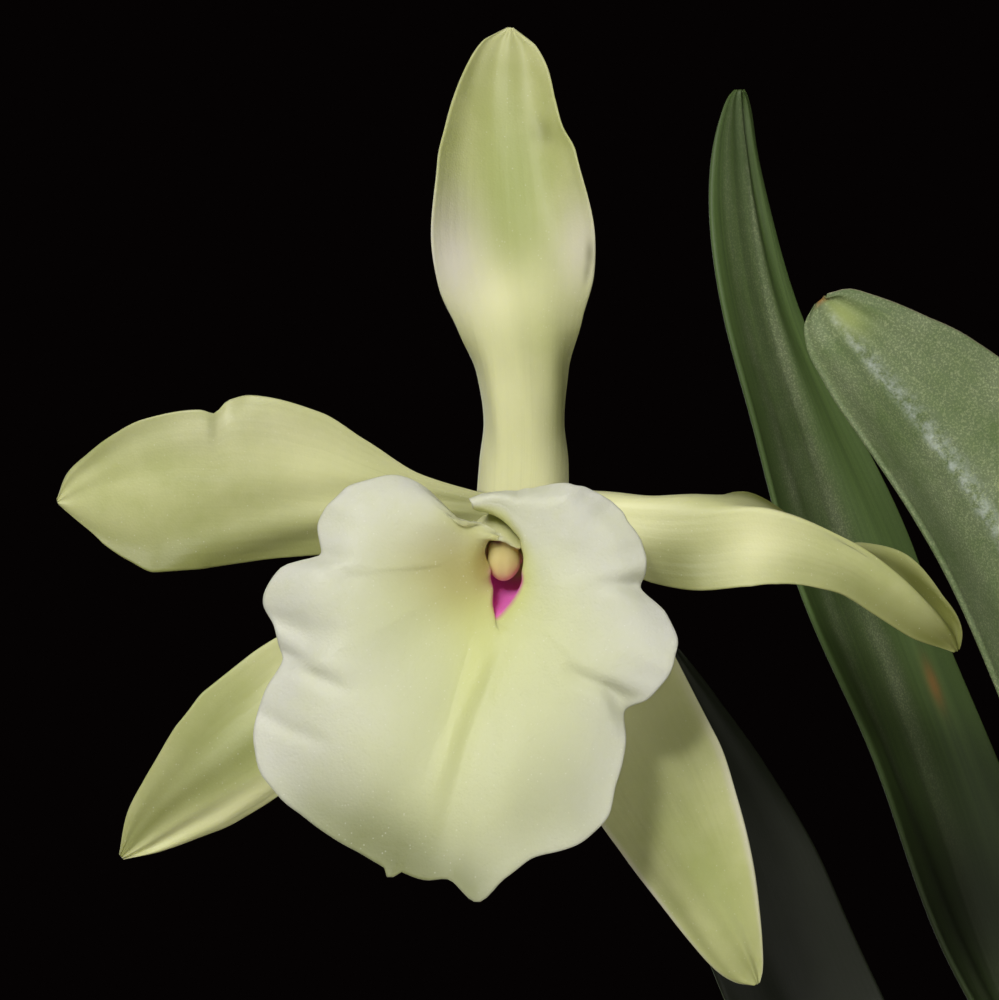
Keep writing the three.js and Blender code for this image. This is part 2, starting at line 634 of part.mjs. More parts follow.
const LIP_MARGIN = [
  [-141.5, 9, -12.6], [-139, 14, -12.6], [-134, 17, -12.6], [-127, 19, -12.8], [-119, 21, -13],
  [-107, 22.1, -13.2], [-98, 21.2, -13.6], [-93, 25.4, -13.4], [-84, 27.6, -13.6], [-78, 26.8, -14.4],
  [-71, 26.8, -15.6], [-65, 30, -16.6], [-57, 34, -18], [-50, 35.6, -19.2], [-40, 35.2, -20.4],
  [-29, 35, -21.6], [-21.5, 35.6, -22], [-15, 34.8, -22.2], [-11, 34.2, -22.4], [-5, 36.4, -22.6],
  [0, 33.6, -22], [6, 31.4, -21.2], [16, 30.8, -20.2], [23, 29.4, -19.4], [29, 26, -18.4],
  [37, 22.8, -17.4], [43, 20.1, -16.4], [50, 21, -18.6], [60, 21.3, -18], [68, 21.1, -17.4],
  [78, 18.6, -16.2], [87, 15.5, -15], [96, 16.2, -15.4], [108, 15.9, -15], [122, 15.2, -14.6],
  [140, 13.8, -14], [157, 11.6, -13.8], [175, 10, -13.8], [204, 9.9, -13.8],
];

const LIP_RINGS = [
  {
    centre: [0, -1],
    rows: [[-172, 2.9, -1.2], [0, 2.9, -1.2], [90, 2.9, -1.2], [172, 4, -1.2]],
  },
  {
    centre: [-0.8, -2.9],
    rows: [[-192, 3.5, -5], [-150, 3.6, -5], [-90, 3.6, -5], [0, 4.6, -5], [90, 3.8, -5], [150, 4.6, -5],
      [168, 5, -5], [192, 5.6, -5]],
  },
  {
    centre: [-1.6, -5.2],
    rows: [[-200, 4.3, -9], [-150, 4.4, -9], [-90, 3.6, -9], [-15, 4.7, -9], [20, 4, -9], [90, 3.2, -9],
      [150, 5, -9], [160, 5.7, -9], [175, 6.1, -9], [200, 7, -9]],
  },
  {
    centre: [-2, -6.7],
    rows: [[-205, 3.6, -12.4], [-190, 4.2, -12.4], [-165, 4.9, -12.2], [-140, 4.7, -11.8], [-110, 3.5, -10.8],
      [-65, 2.8, -10.2], [-33, 3.4, -11], [-15, 4.9, -12.2], [11, 3.8, -12.6], [63, 2.9, -13], [100, 2.7, -13.2],
      [147, 4.3, -13.2], [155, 5, -13.3], [168, 5.9, -13.4], [182, 7.2, -13.6], [203, 9.1, -13.8]],
  },
  {
    centre: [-2, -6.7],
    rows: [[-160, 6.6, -12.6], [-140, 7.2, -13.2], [-110, 6.6, -13.2], [-65, 6.3, -13.2], [-33, 6.6, -13.8],
      [-15, 8.2, -14.6], [11, 7.2, -15], [63, 5.4, -14.9], [100, 4.7, -14.6], [147, 5.5, -14.4], [168, 6.8, -14.4],
      [182, 8.4, -14.3], [203.5, 9.4, -14.2]],
  },
  {
    share: 0.36,
    rows: [[-147, 0, -14], [-110, 0, -15], [-65, 0, -15.8], [-33, 0, -16.6], [-19, 0, -16.4], [0, 0, -17.2],
      [43, 0, -16.8], [63, 0, -16.6], [100, 0, -15.8], [147, 0, -15], [203.7, 0, -14.2]],
  },
  {
    share: 0.7,
    rows: [[-143, 0, -13.6], [-110, 0, -15], [-65, 0, -17], [-33, 0, -19.2], [-19, 0, -19], [0, 0, -20],
      [33, 0, -18.2], [48, 0, -18.4], [63, 0, -17.8], [100, 0, -16.2], [147, 0, -15], [203.9, 0, -14.1]],
  },
  {
    share: 1,
    rows: LIP_MARGIN,
  },
];

// Point of a ring at an angle, [x, y, z] from the receptacle.
function lipRingPoint(ring, angle) {
  const [cheek] = LIP_RINGS.filter((r) => r.share === undefined).slice(-1);
  const depth = stationValue(ring.rows, 2, angle);
  const inner = stationValue((ring.share === undefined ? ring : cheek).rows, 1, angle);
  const outer = stationValue(LIP_MARGIN, 1, angle);
  const radius = ring.share === undefined ? inner : lerp(inner, outer, ring.share);
  const [cx, cz] = (ring.centre ?? cheek.centre);
  return [cx + radius * Math.sin(radians(angle)), depth, cz - radius * Math.cos(radians(angle))];
}

function lipRows(stepsPerRing, columns) {
  const lines = [];
  for (let j = 0; j <= columns; j += 1) {
    const points = LIP_RINGS.map((ring) => {
      const first = ring.rows[0][0];
      const last = ring.rows[ring.rows.length - 1][0];
      return vector(lipRingPoint(ring, lerp(first, last, j / columns)));
    });
    lines.push(new THREE.CatmullRomCurve3(points));
  }
  const rows = [];
  for (let k = 0; k < LIP_RINGS.length - 1; k += 1) {
    for (let step = 0; step < stepsPerRing[k]; step += 1) {
      const t = (k + step / stepsPerRing[k]) / (LIP_RINGS.length - 1);
      rows.push(lines.map((line) => line.getPoint(t)));
    }
  }
  rows.push(lines.map((line) => line.getPoint(1)));
  return rows;
}

// Column and its cap, inside the lip's tube

function makeColumn() {
  const path = [[0, -0.2, -0.1], [-0.5, -3.2, -1.5], [-1.4, -6.4, -3.2], [-1.95, -8.3, -4.4]];
  const sections = [[0, 1, 1], [0.06, 1.5, 1.4], [0.5, 1.7, 1.5], [0.85, 2, 1.6], [0.97, 1.9, 1.6], [1, 1.3, 1.2]];
  return piece('column', loft(path, sections, new THREE.Vector3(1, 0, 0), 10, 8), COLOURS.column, 0.4);
}

function makeAntherCap() {
  const cap = new THREE.SphereGeometry(1, 12, 8);
  cap.scale(1.75, 1.15, 2.35);
  cap.rotateX(radians(18));
  cap.translate(-2, -9.9, -4.7);
  return piece('anther_cap', cap, COLOURS.anther, 0.4);
}

function makeFlower() {
  const flower = new THREE.Group();
  flower.position.set(...RECEPTACLE);
  for (const [name, spec] of Object.entries(TEPALS)) {
    flower.add(piece(name, sheet(bladeRows(spec, 15, 4), TEPAL_THICKNESS), COLOURS.tepal, 0.5));
  }
  flower.add(piece('lip', sheet(lipRows([1, 1, 2, 1, 1, 2, 2], 54), LIP_THICKNESS), COLOURS.lip, 0.5));
  flower.add(makeColumn());
  flower.add(makeAntherCap());
  return flower;
}

const plant = new THREE.Group();
plant.add(makePot());
plant.add(makeBark());
plant.add(makeRhizome());
ROOTS.forEach((root, i) => plant.add(makeRoot(root, `root_${i + 1}`)));
STEMS.forEach((stem, i) => plant.add(makeStem(stem, `pseudobulb_${i + 1}`)));
for (const [name, spec] of Object.entries(LEAVES)) {
  plant.add(piece(name, sheet(bladeRows(spec, 12, 3), LEAF_THICKNESS), COLOURS.leaf, 0.45));
}
plant.add(piece('flower_sheath', sheet(bladeRows(FLOWER_SHEATH, 9, 5), SHEATH_THICKNESS), COLOURS.sheath, 0.7));
plant.add(makeStalk());
plant.add(makeFlower());

export default plant;
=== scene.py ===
"""Looks of a potted Rhyncholaelia glauca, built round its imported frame.

A small orchid with one open flower, four waxy leaves on swollen stems, and a clay pot of bark.
Tables are in millimetres and degrees, in the frame's own axes; meshes are made in metres.
"""

import logging
import math
from dataclasses import dataclass, field
from enum import Enum
from typing import Callable

import bpy
import numpy as np
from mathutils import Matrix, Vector


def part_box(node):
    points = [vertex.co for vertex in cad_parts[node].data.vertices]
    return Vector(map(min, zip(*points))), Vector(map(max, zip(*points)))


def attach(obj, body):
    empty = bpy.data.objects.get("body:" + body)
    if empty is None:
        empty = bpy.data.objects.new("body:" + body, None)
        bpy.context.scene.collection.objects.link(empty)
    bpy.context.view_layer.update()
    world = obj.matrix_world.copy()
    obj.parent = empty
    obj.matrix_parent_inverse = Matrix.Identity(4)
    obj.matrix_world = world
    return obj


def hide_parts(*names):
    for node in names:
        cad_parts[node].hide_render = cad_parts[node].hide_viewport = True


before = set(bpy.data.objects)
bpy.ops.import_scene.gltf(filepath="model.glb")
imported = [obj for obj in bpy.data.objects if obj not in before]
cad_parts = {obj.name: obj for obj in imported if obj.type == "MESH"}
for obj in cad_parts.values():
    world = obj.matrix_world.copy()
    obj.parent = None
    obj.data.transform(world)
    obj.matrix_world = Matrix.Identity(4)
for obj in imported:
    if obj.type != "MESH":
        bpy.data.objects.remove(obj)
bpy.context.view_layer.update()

Array = np.ndarray
Pair = tuple[Array, Array]
FaceMarks = dict[str, Pair]
Spot = tuple[float, float]
Place = tuple[float, float, float]
Rows = list[tuple[float, ...]]
Item = bpy.types.Object
Tree = bpy.types.NodeTree
Node = bpy.types.Node
Socket = bpy.types.NodeSocket

MM = 0.001

# Camera: level, straight at the flower, at portrait distance.
PICTURE_LONG_SIDE = 1000
SENSOR = 36.0
PIXELS_PER_MM = 8.61
CAMERA_DISTANCE = 600.0
CLIP_FROM = 0.05
CLIP_TO = 20.0
AIM = (-75.0, -38.0, 256.0)

# Pot and filling, as in the frame.
POT_HEIGHT = 105.0
POT_BASE_RADIUS = 42.0
POT_SHOULDER_RADIUS = 57.0
POT_RIM_RADIUS = 62.0
POT_RIM_HEIGHT = 22.0
POT_WALL = 5.0
POT_FLOOR = 6.0
DRAIN_HOLE_RADIUS = 4.0
DRAIN_HOLE_RING = 24.0
DRAIN_HOLES = 4
GAP = 0.3
BARK_TOP = 92.0

RHIZOME_RADIUS = 3.2
RHIZOME_HEIGHT = BARK_TOP + RHIZOME_RADIUS + GAP
STEM_FOOT = RHIZOME_HEIGHT + RHIZOME_RADIUS + GAP
RHIZOME_LINE = [(-29, -2), (-19, 0), (-1, 3), (17, -1), (34, 3), (44, 2)]
ROOT_RADIUS = 1.5
ROOT_BEND = 4.5
ROOT_TOE = 5.2
ROOT_LINES = [
    [(-26, -5.6), (-33, -14), (-36, -26)],
    [(-10, -4.4), (-14, -18), (-9, -31)],
    [(8, -4.2), (13, -16), (22, -27)],
    [(26, -4.6), (33, -12), (43, -17)],
    [(6, 8.2), (2, 20), (10, 32)],
    [(-22, 6.2), (-31, 14), (-37, 24)],
]

# Everything on the flower is measured from the point where petals and sepals meet.
RECEPTACLE = np.array([-72.4, -38.0, 253.7])

# Towards the camera: a blade that is not rolled turns its upper face this way.
VIEWER = np.array([0.0, -1.0, 0.0])

log = logging.getLogger("orchid")


class Slot(Enum):
    """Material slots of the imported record."""

    CLAY = "clay"
    BARK = "bark"
    RHIZOME = "rhizome"
    ROOT = "root"
    PSEUDOBULB = "pseudobulb"
    LEAF = "leaf"
    SHEATH = "sheath"
    STALK = "stalk"
    TEPAL = "tepal"
    LIP = "lip"
    COLUMN = "column"
    ANTHER = "anther"


# Curves and tables


def unit(vectors: Array) -> Array:
    """Vectors scaled to length 1 along their last axis."""
    return vectors / np.linalg.norm(vectors, axis=-1, keepdims=True)


def smooth(low: float, high: float, x: Array) -> Array:
    """Soft step from 0 at low to 1 at high."""
    t = np.clip((x - low) / (high - low), 0, 1)
    return t * t * (3 - 2 * t)


def through(points: Array, t: Array) -> Array:
    """Reads a centripetal Catmull-Rom curve.

    Args:
        points: control points, with shape (..., count, 3).
        t: places from 0 to 1, evenly shared among the spans.

    Returns:
        Points of the curve, with shape (..., len(t), 3).
    """
    first = 2 * points[..., :1, :] - points[..., 1:2, :]
    last = 2 * points[..., -1:, :] - points[..., -2:-1, :]
    padded = np.concatenate([first, points, last], axis=-2)
    spans = points.shape[-2] - 1
    place = np.clip(t, 0, 1) * spans
    i = np.minimum(place.astype(int), spans - 1)
    w = (place - i)[:, None]
    p0, p1, p2, p3 = (padded[..., i + k, :] for k in range(4))
    d0, d1, d2 = (
        np.sqrt(np.linalg.norm(b - a, axis=-1, keepdims=True)) for a, b in ((p0, p1), (p1, p2), (p2, p3))
    )
    m1 = ((p1 - p0) / d0 - (p2 - p0) / (d0 + d1) + (p2 - p1) / d1) * d1
    m2 = ((p2 - p1) / d1 - (p3 - p1) / (d1 + d2) + (p3 - p2) / d2) * d1
    start = (2 * w**3 - 3 * w**2 + 1) * p1 + (w**3 - 2 * w**2 + w) * m1
    return start + (3 * w**2 - 2 * w**3) * p2 + (w**3 - w**2) * m2


class Path:
    """Smooth curve through points, read at shares of its length."""

    STEPS = 2000
    NUDGE = 1e-4

    def __init__(self, points: list) -> None:
        """Measures the curve."""
        self.points = np.array(points, float)
        self.places = np.linspace(0, 1, self.STEPS + 1)
        fine = through(self.points, self.places)
        self.run = np.concatenate([[0], np.cumsum(np.linalg.norm(np.diff(fine, axis=0), axis=1))])
        self.length = float(self.run[-1])

    def at(self, share: Array) -> Pair:
        """Points and directions of the curve at shares of its length.

        Args:
            share: places from 0 to 1.

        Returns:
            Points and unit tangents, each with shape (len(share), 3).
        """
        t = np.interp(share * self.length, self.run, self.places)
        ahead = through(self.points, np.clip(t + self.NUDGE, 0, 1))
        behind = through(self.points, np.clip(t - self.NUDGE, 0, 1))
        return through(self.points, t), unit(ahead - behind)


def station(rows: Rows, column: int, x: Array) -> Array:
    """Smooth values from a table sorted by its first column, with no overshoot.

    Args:
        rows: the table.
        column: the column that is read.
        x: places, in the first column's terms.

    Returns:
        One value for each place.
    """
    table = np.array(rows, float)
    xs, ys = table[:, 0], table[:, column]
    secant = np.diff(ys) / np.diff(xs)
    slope = np.zeros(len(xs))
    slope[0], slope[-1] = secant[0], secant[-1]
    product, total = secant[:-1] * secant[1:], secant[:-1] + secant[1:]
    safe = np.where(product > 0, total, 1)
    slope[1:-1] = np.where(product > 0, 2 * product / safe, 0)
    place = np.clip(x, xs[0], xs[-1])
    i = np.clip(np.searchsorted(xs, place, side="left") - 1, 0, len(xs) - 2)
    width = xs[i + 1] - xs[i]
    t = (place - xs[i]) / width
    start = (1 + 2 * t) * (1 - t) ** 2 * ys[i] + t * (1 - t) ** 2 * width * slope[i]
    return start + t**2 * (3 - 2 * t) * ys[i + 1] + t**2 * (t - 1) * width * slope[i + 1]


def beside(x: Array, y: Array, start: Spot, end: Spot) -> Pair:
    """Measures points against a straight line.

    Args:
        x: first coordinate of each point.
        y: second one.
        start: where the line starts.
        end: where it ends.

    Returns:
        The nearest place along the line, from 0 to 1, and the distance from it, for each point.
    """
    (ax, ay), (bx, by) = start, end
    length = (bx - ax) ** 2 + (by - ay) ** 2
    t = np.clip(((x - ax) * (bx - ax) + (y - ay) * (by - ay)) / length, 0, 1)
    return t, np.hypot(x - ax - t * (bx - ax), y - ay - t * (by - ay))


def half_section(arc: Array, share: Array, keel: Array, curl: Array) -> Pair:
    """Offsets of points on half a blade, whose cross-section bends evenly from keel to curl.

    Args:
        arc: length of the half section in millimetres.
        share: place along it, 0 at the midrib and 1 at the margin.
        keel: direction at the midrib in degrees, positive towards the upper face.
        curl: direction at the margin in degrees.

    Returns:
        Offsets sideways and towards the upper face.
    """
    start = np.radians(keel)
    bend = np.radians(curl - keel)
    bend = np.where(np.abs(bend) < 1e-4, 1e-4, bend)
    end = start + bend * share
    out = arc * (np.sin(end) - np.sin(start)) / bend
    return out, arc * (np.cos(start) - np.cos(end)) / bend


@dataclass
class Swell:
    """Seeded slow waves over a surface."""

    seed: int
    height: float
    waves: Spot = (2.0, 3.0)
    terms: int = 5

    def at(self, u: Array, v: Array) -> Array:
        """Height of the waves at places from 0 to 1 across and along.

        Args:
            u: places across.
            v: places along.

        Returns:
            Heights in millimetres.
        """
        random = np.random.default_rng(self.seed)
        total = np.zeros(np.broadcast(u, v).shape)
        for _ in range(self.terms):
            ku, kv = random.uniform(0.4, 1.0, 2) * self.waves
            phase = random.uniform(0, 2 * math.pi)
            total = total + np.sin(2 * math.pi * (ku * u + kv * v) + phase)
        return self.height * total / math.sqrt(self.terms)


# Meshes


def mesh_object(
    name: str, vertices: Array, faces: list, uv: Array | None = None, marks: dict[str, Array] | None = None
) -> Item:
    """Makes a smooth-shaded mesh object at the origin.

    Args:
        name: name of the object and its mesh.
        vertices: points in millimetres, with shape (count, 3).
        faces: vertex numbers of each face.
        uv: one map coordinate for each vertex, with shape (count, 2).
        marks: named values from 0 to 1, one for each vertex.

    Returns:
        The linked object.
    """
    name = f"{name}_fine"
    mesh = bpy.data.meshes.new(name)
    mesh.from_pydata((vertices * MM).tolist(), [], faces)
    mesh.shade_smooth()
    if uv is not None:
        corner = np.zeros(len(mesh.loops), np.int32)
        mesh.loops.foreach_get("vertex_index", corner)
        layer = mesh.uv_layers.new(name="blade")
        layer.data.foreach_set("uv", uv[corner].astype(np.float32).ravel())
    for mark, values in (marks or {}).items():
        layer = mesh.attributes.new(mark, "FLOAT", "POINT")
        layer.data.foreach_set("value", values.astype(np.float32).ravel())
    mesh.validate()
    mesh.update()
    item = bpy.data.objects.new(name, mesh)
    bpy.context.scene.collection.objects.link(item)
    return item


def sheet_object(
    name: str, middle: Array, up: Array, down: Array, uv: Array, marks: FaceMarks
) -> Item:
    """Makes a closed thin body from its middle surface.

    Args:
        name: name of the object.
        middle: points with shape (rows, columns, 3), in millimetres.
        up: distance from the middle to the front face, with shape (rows, columns).
        down: distance from the middle to the back face.
        uv: map coordinates with shape (rows, columns, 2).
        marks: values on the front and back faces by name.

    Returns:
        The linked object.
    """
    rows, columns = middle.shape[:2]
    normal = unit(np.cross(np.gradient(middle, axis=1), np.gradient(middle, axis=0)))
    for axis in (0, 1, 0, 1):
        wide = np.pad(normal, [(int(axis == k),) * 2 for k in range(3)], mode="edge")
        ahead, behind = np.delete(wide, [0, 1], axis), np.delete(wide, [-2, -1], axis)
        normal = unit(ahead + 2 * normal + behind)
    front = (middle + normal * up[..., None]).reshape(-1, 3)
    back = (middle - normal * down[..., None]).reshape(-1, 3)
    grid = np.arange(rows * columns).reshape(rows, columns)
    a, b, c, d = (g.ravel() for g in (grid[:-1, :-1], grid[:-1, 1:], grid[1:, 1:], grid[1:, :-1]))
    offset = rows * columns
    rim = np.concatenate([grid[0, :-1], grid[:-1, -1], grid[-1, :0:-1], grid[:0:-1, 0]])
    after = np.roll(rim, -1)
    faces = np.concatenate([
        np.stack([a, b, c, d], 1),
        np.stack([a, d, c, b], 1) + offset,
        np.stack([rim, rim + offset, after + offset, after], 1),
    ])
    flat_uv = uv.reshape(-1, 2)
    flat_marks = {k: np.concatenate([f.ravel(), g.ravel()]) for k, (f, g) in marks.items()}
    points = np.concatenate([front, back])
    return mesh_object(name, points, faces.tolist(), np.concatenate([flat_uv, flat_uv]), flat_marks)


def turned(profile: Array, sides: int) -> Array:
    """Rings of a body turned about the vertical axis, from rows of radius and height."""
    turn = np.linspace(0, 2 * np.pi, sides, endpoint=False)
    r, z = profile[:, 0, None], profile[:, 1, None]
    return np.stack([r * np.cos(turn), r * np.sin(turn), z + 0 * turn], axis=-1)


def ring_object(name: str, rings: Array, ends: Array, marks: dict[str, Array] | None = None) -> Item:
    """Makes a closed body of rings that run anticlockwise about the way from first to last.

    Args:
        name: name of the object.
        rings: points with shape (rings, sides, 3).
        ends: the points that close the first and the last ring.
        marks: named values with shape (rings, sides).

    Returns:
        The linked object.
    """
    steps, sides = rings.shape[:2]
    grid = np.arange(steps * sides).reshape(steps, sides)
    after = np.roll(grid, -1, axis=1)
    faces = np.stack([g.ravel() for g in (grid[:-1], after[:-1], after[1:], grid[1:])], 1).tolist()
    foot, head = steps * sides, steps * sides + 1
    faces += [(foot, int(b), int(a)) for a, b in zip(grid[0], after[0])]
    faces += [(head, int(a), int(b)) for a, b in zip(grid[-1], after[-1])]
    flat = {k: np.concatenate([v.ravel(), [v[0].mean(), v[-1].mean()]]) for k, v in (marks or {}).items()}
    return mesh_object(name, np.concatenate([rings.reshape(-1, 3), ends]), faces, None, flat)


@dataclass
class Loft:
    """Closed body swept along a path.

    sections are rows of place, half width and half depth; wide is the direction of the width.
    relief gives an outward offset in millimetres from the angle and the place.
    """

    path: list
    sections: Rows
    wide: Array
    sides: int = 48
    steps: int = 120
    relief: Callable[[Array, Array], Array] | None = None

    def rings(self) -> tuple[Array, Array, Array]:
        """Ring points with shape (steps + 1, sides, 3), and their angles and places."""
        place = np.linspace(0, 1, self.steps + 1)
        centre, tangent = Path(self.path).at(place)
        across = unit(self.wide - tangent * (tangent @ self.wide)[:, None])
        deep = np.cross(tangent, across)
        angle, along = np.meshgrid(np.linspace(0, 2 * math.pi, self.sides, endpoint=False), place)
        wide = station(self.sections, 1, place)[:, None]
        depth = station(self.sections, 2, place)[:, None]
        lift = self.relief(angle, along) if self.relief else np.zeros_like(angle)
        x = ((wide + lift) * np.cos(angle))[..., None] * across[:, None, :]
        y = ((depth + lift) * np.sin(angle))[..., None] * deep[:, None, :]
        return centre[:, None, :] + x + y, angle, along

    def build(self, name: str) -> Item:
        """The closed mesh, marked with its places along."""
        rings, _, along = self.rings()
        return ring_object(name, rings, np.stack([rings[0].mean(0), rings[-1].mean(0)]), {"along": along})


def place_piece(piece: Item, finish: "Finish", slot: Slot, *nodes: str) -> None:
    """Dresses a finished piece and puts it on the plant's one body.

    Args:
        piece: the mesh object.
        finish: its finish.
        slot: the record's material slot; not used.
        nodes: CAD nodes that it stands for.
    """
    piece.data.materials.clear()
    piece.data.materials.append(finish.material())
    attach(piece, "root")
    drift = 0.0
    if nodes:
        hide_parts(*nodes)
        boxes = np.array([[tuple(c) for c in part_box(n)] for n in nodes])
        own = np.array([tuple(c) for c in piece.bound_box])
        low = own.min(axis=0) - boxes[:, 0].min(axis=0)
        high = own.max(axis=0) - boxes[:, 1].max(axis=0)
        drift = np.abs([low, high]).max() / MM
    triangles = sum(len(p.vertices) - 2 for p in piece.data.polygons)
    log.info("%s: %d triangles, box within %.2f mm of %s", piece.name, triangles, drift, nodes or "the plant")


# Finishes


def linear(code: str) -> tuple[float, float, float, float]:
    """Linear colour of an sRGB hex code such as #c9cf8f."""
    parts = [int(code[i : i + 2], 16) / 255 for i in (1, 3, 5)]
    levels = [p / 12.92 if p <= 0.04045 else ((p + 0.055) / 1.055) ** 2.4 for p in parts]
    return (*levels, 1.0)


def feed(tree: Tree, socket: Socket, value: object) -> None:
    """Links or sets one input.

    Args:
        tree: the node tree.
        socket: the input.
        value: a node whose first output is linked, a socket, a hex colour or a plain value.
    """
    if isinstance(value, Node):
        value = next(s for s in value.outputs if s.enabled)
    if isinstance(value, Socket):
        tree.links.new(value, socket)
    else:
        hex_code = isinstance(value, str) and value.startswith("#")
        socket.default_value = linear(value) if hex_code else value


def add(tree: Tree, kind: str, *first: object, **values: object) -> Node:
    """Adds one node.

    Args:
        tree: the node tree.
        kind: type of the node. A shader node's name is given without its prefix.
        first: what is fed to its first inputs, in order.
        values: settings, and what is fed to other inputs by name. stops fills a colour ramp.

    Returns:
        The node.
    """
    item = tree.nodes.new(kind if "Node" in kind else f"ShaderNode{kind}")
    for place, code in values.pop("stops", []):
        ramp = item.color_ramp.elements
        element = ramp[0] if place == 0 else ramp[-1] if place == 1 else ramp.new(place)
        element.color = linear(code)
    named = {}
    for key, value in values.items():
        if any(s.enabled and s.name.lower() == key.replace("_", " ") for s in item.inputs):
            named[key.replace("_", " ")] = value
        else:
            setattr(item, key, value)
    open_inputs = [s for s in item.inputs if s.enabled]
    for socket, value in zip(open_inputs, first):
        feed(tree, socket, value)
    for key, value in named.items():
        feed(tree, next(s for s in open_inputs if s.name.lower() == key), value)
    return item


def painted(tree: Tree, name: str) -> Socket:
    """Value of one of the mesh's marks."""
    return add(tree, "Attribute", attribute_name=name).outputs["Fac"]


def fractal(
    tree: Tree, place: object, size: float, detail: float, roughness: float = 0.5, distortion: float = 0.0
) -> Node:
    """Noise with features about size millimetres across."""
    scale = 1 / (size * MM)
    return add(
        tree, "TexNoise", place, scale=scale, detail=detail, roughness=roughness, distortion=distortion
    )


def ranged(tree: Tree, value: object, low: float, high: float, top: float = 1.0) -> Node:
    """Maps a value from low to high onto 0 to top."""
    return add(tree, "MapRange", value, from_min=low, from_max=high, to_max=top)


def times(tree: Tree, one: object, other: object) -> Node:
    """Product of two values."""
    return add(tree, "Math", one, other, operation="MULTIPLY")


def mix(tree: Tree, amount: object, below: object, above: object) -> Node:
    """Mixes two colours by an amount from 0 to 1."""
    return add(tree, "Mix", amount, below, above, data_type="RGBA")


def bump(tree: Tree, height: object, strength: float, depth: float, below: Node | None = None) -> Node:
    """Bump of a depth in millimetres, over another one if below is given."""
    more = {} if below is None else {"normal": below}
    return add(tree, "Bump", height=height, strength=strength, distance=depth * MM, **more)


def flesh(
    tree: Tree, colour: Node, skin: Node, rough: object, ior: float, inner: float, spread: tuple, reach: float
) -> Node:
    """Shader of living or papery tissue, which light enters.

    Args:
        tree: the node tree.
        colour: node that gives the colour.
        skin: its bump.
        rough: its roughness.
        ior: its index of refraction.
        inner: share of the light that goes inside.
        spread: how far red, green and blue light reach, as shares.
        reach: the farthest that light goes inside, in millimetres.

    Returns:
        The shader node.
    """
    return add(
        tree, "BsdfPrincipled", colour, normal=skin, roughness=rough, ior=ior,
        subsurface_weight=inner, subsurface_radius=spread, subsurface_scale=reach * MM,
    )


class Finish:
    """A procedural finish. Its material is made once and shared by its pieces."""

    made: dict[str, bpy.types.Material] = {}

    def material(self) -> bpy.types.Material:
        """The finish's material."""
        name = type(self).__name__ + getattr(self, "variant", "")
        if name not in Finish.made:
            material = bpy.data.materials.new(name)
            material.use_nodes = True
            tree = material.node_tree
            tree.nodes.clear()
            body = add(tree, "TexCoord").outputs["Object"]
            add(tree, "OutputMaterial", self.shader(tree, body))
            Finish.made[name] = material
        return Finish.made[name]

    def shader(self, tree: Tree, body: Socket) -> Node:
        """Fills the tree.

        Args:
            tree: the node tree.
            body: place on the unturned object, in metres.

        Returns:
            The shader node.
        """
        raise NotImplementedError

    def tint(self, tree: Tree, colour: Node, *marks: str) -> Node:
        """Lays the finish's tones over a colour by the mesh's marks of the same names.

        Args:
            tree: the node tree.
            colour: node that gives the colour.
            marks: names, in the order in which the tones are laid.

        Returns:
            Node that gives the tinted colour.
        """
        for mark in marks:
            colour = mix(tree, painted(tree, mark), colour, getattr(self, mark))
        return colour

    def glints(self, tree: Tree, cells: Node, colour: Node, tone: str, rarity: float, top: float) -> Node:
        """Lays painted glints, bright dots over a colour, in the middle of a few cells.

        Args:
            tree: the node tree.
            cells: the cell texture.
            colour: node that gives the colour.
            tone: hex colour of the dots.
            rarity: share of the cells that have none.
            top: strength of the brightest dots.

        Returns:
            Node that gives the colour with its dots.
        """
        chance = add(tree, "SeparateColor", cells.outputs["Color"])
        bright = ranged(tree, chance, rarity, 0.98, top)
        return mix(tree, times(tree, bright, ranged(tree, cells, 0.35, 0.1)), colour, tone)


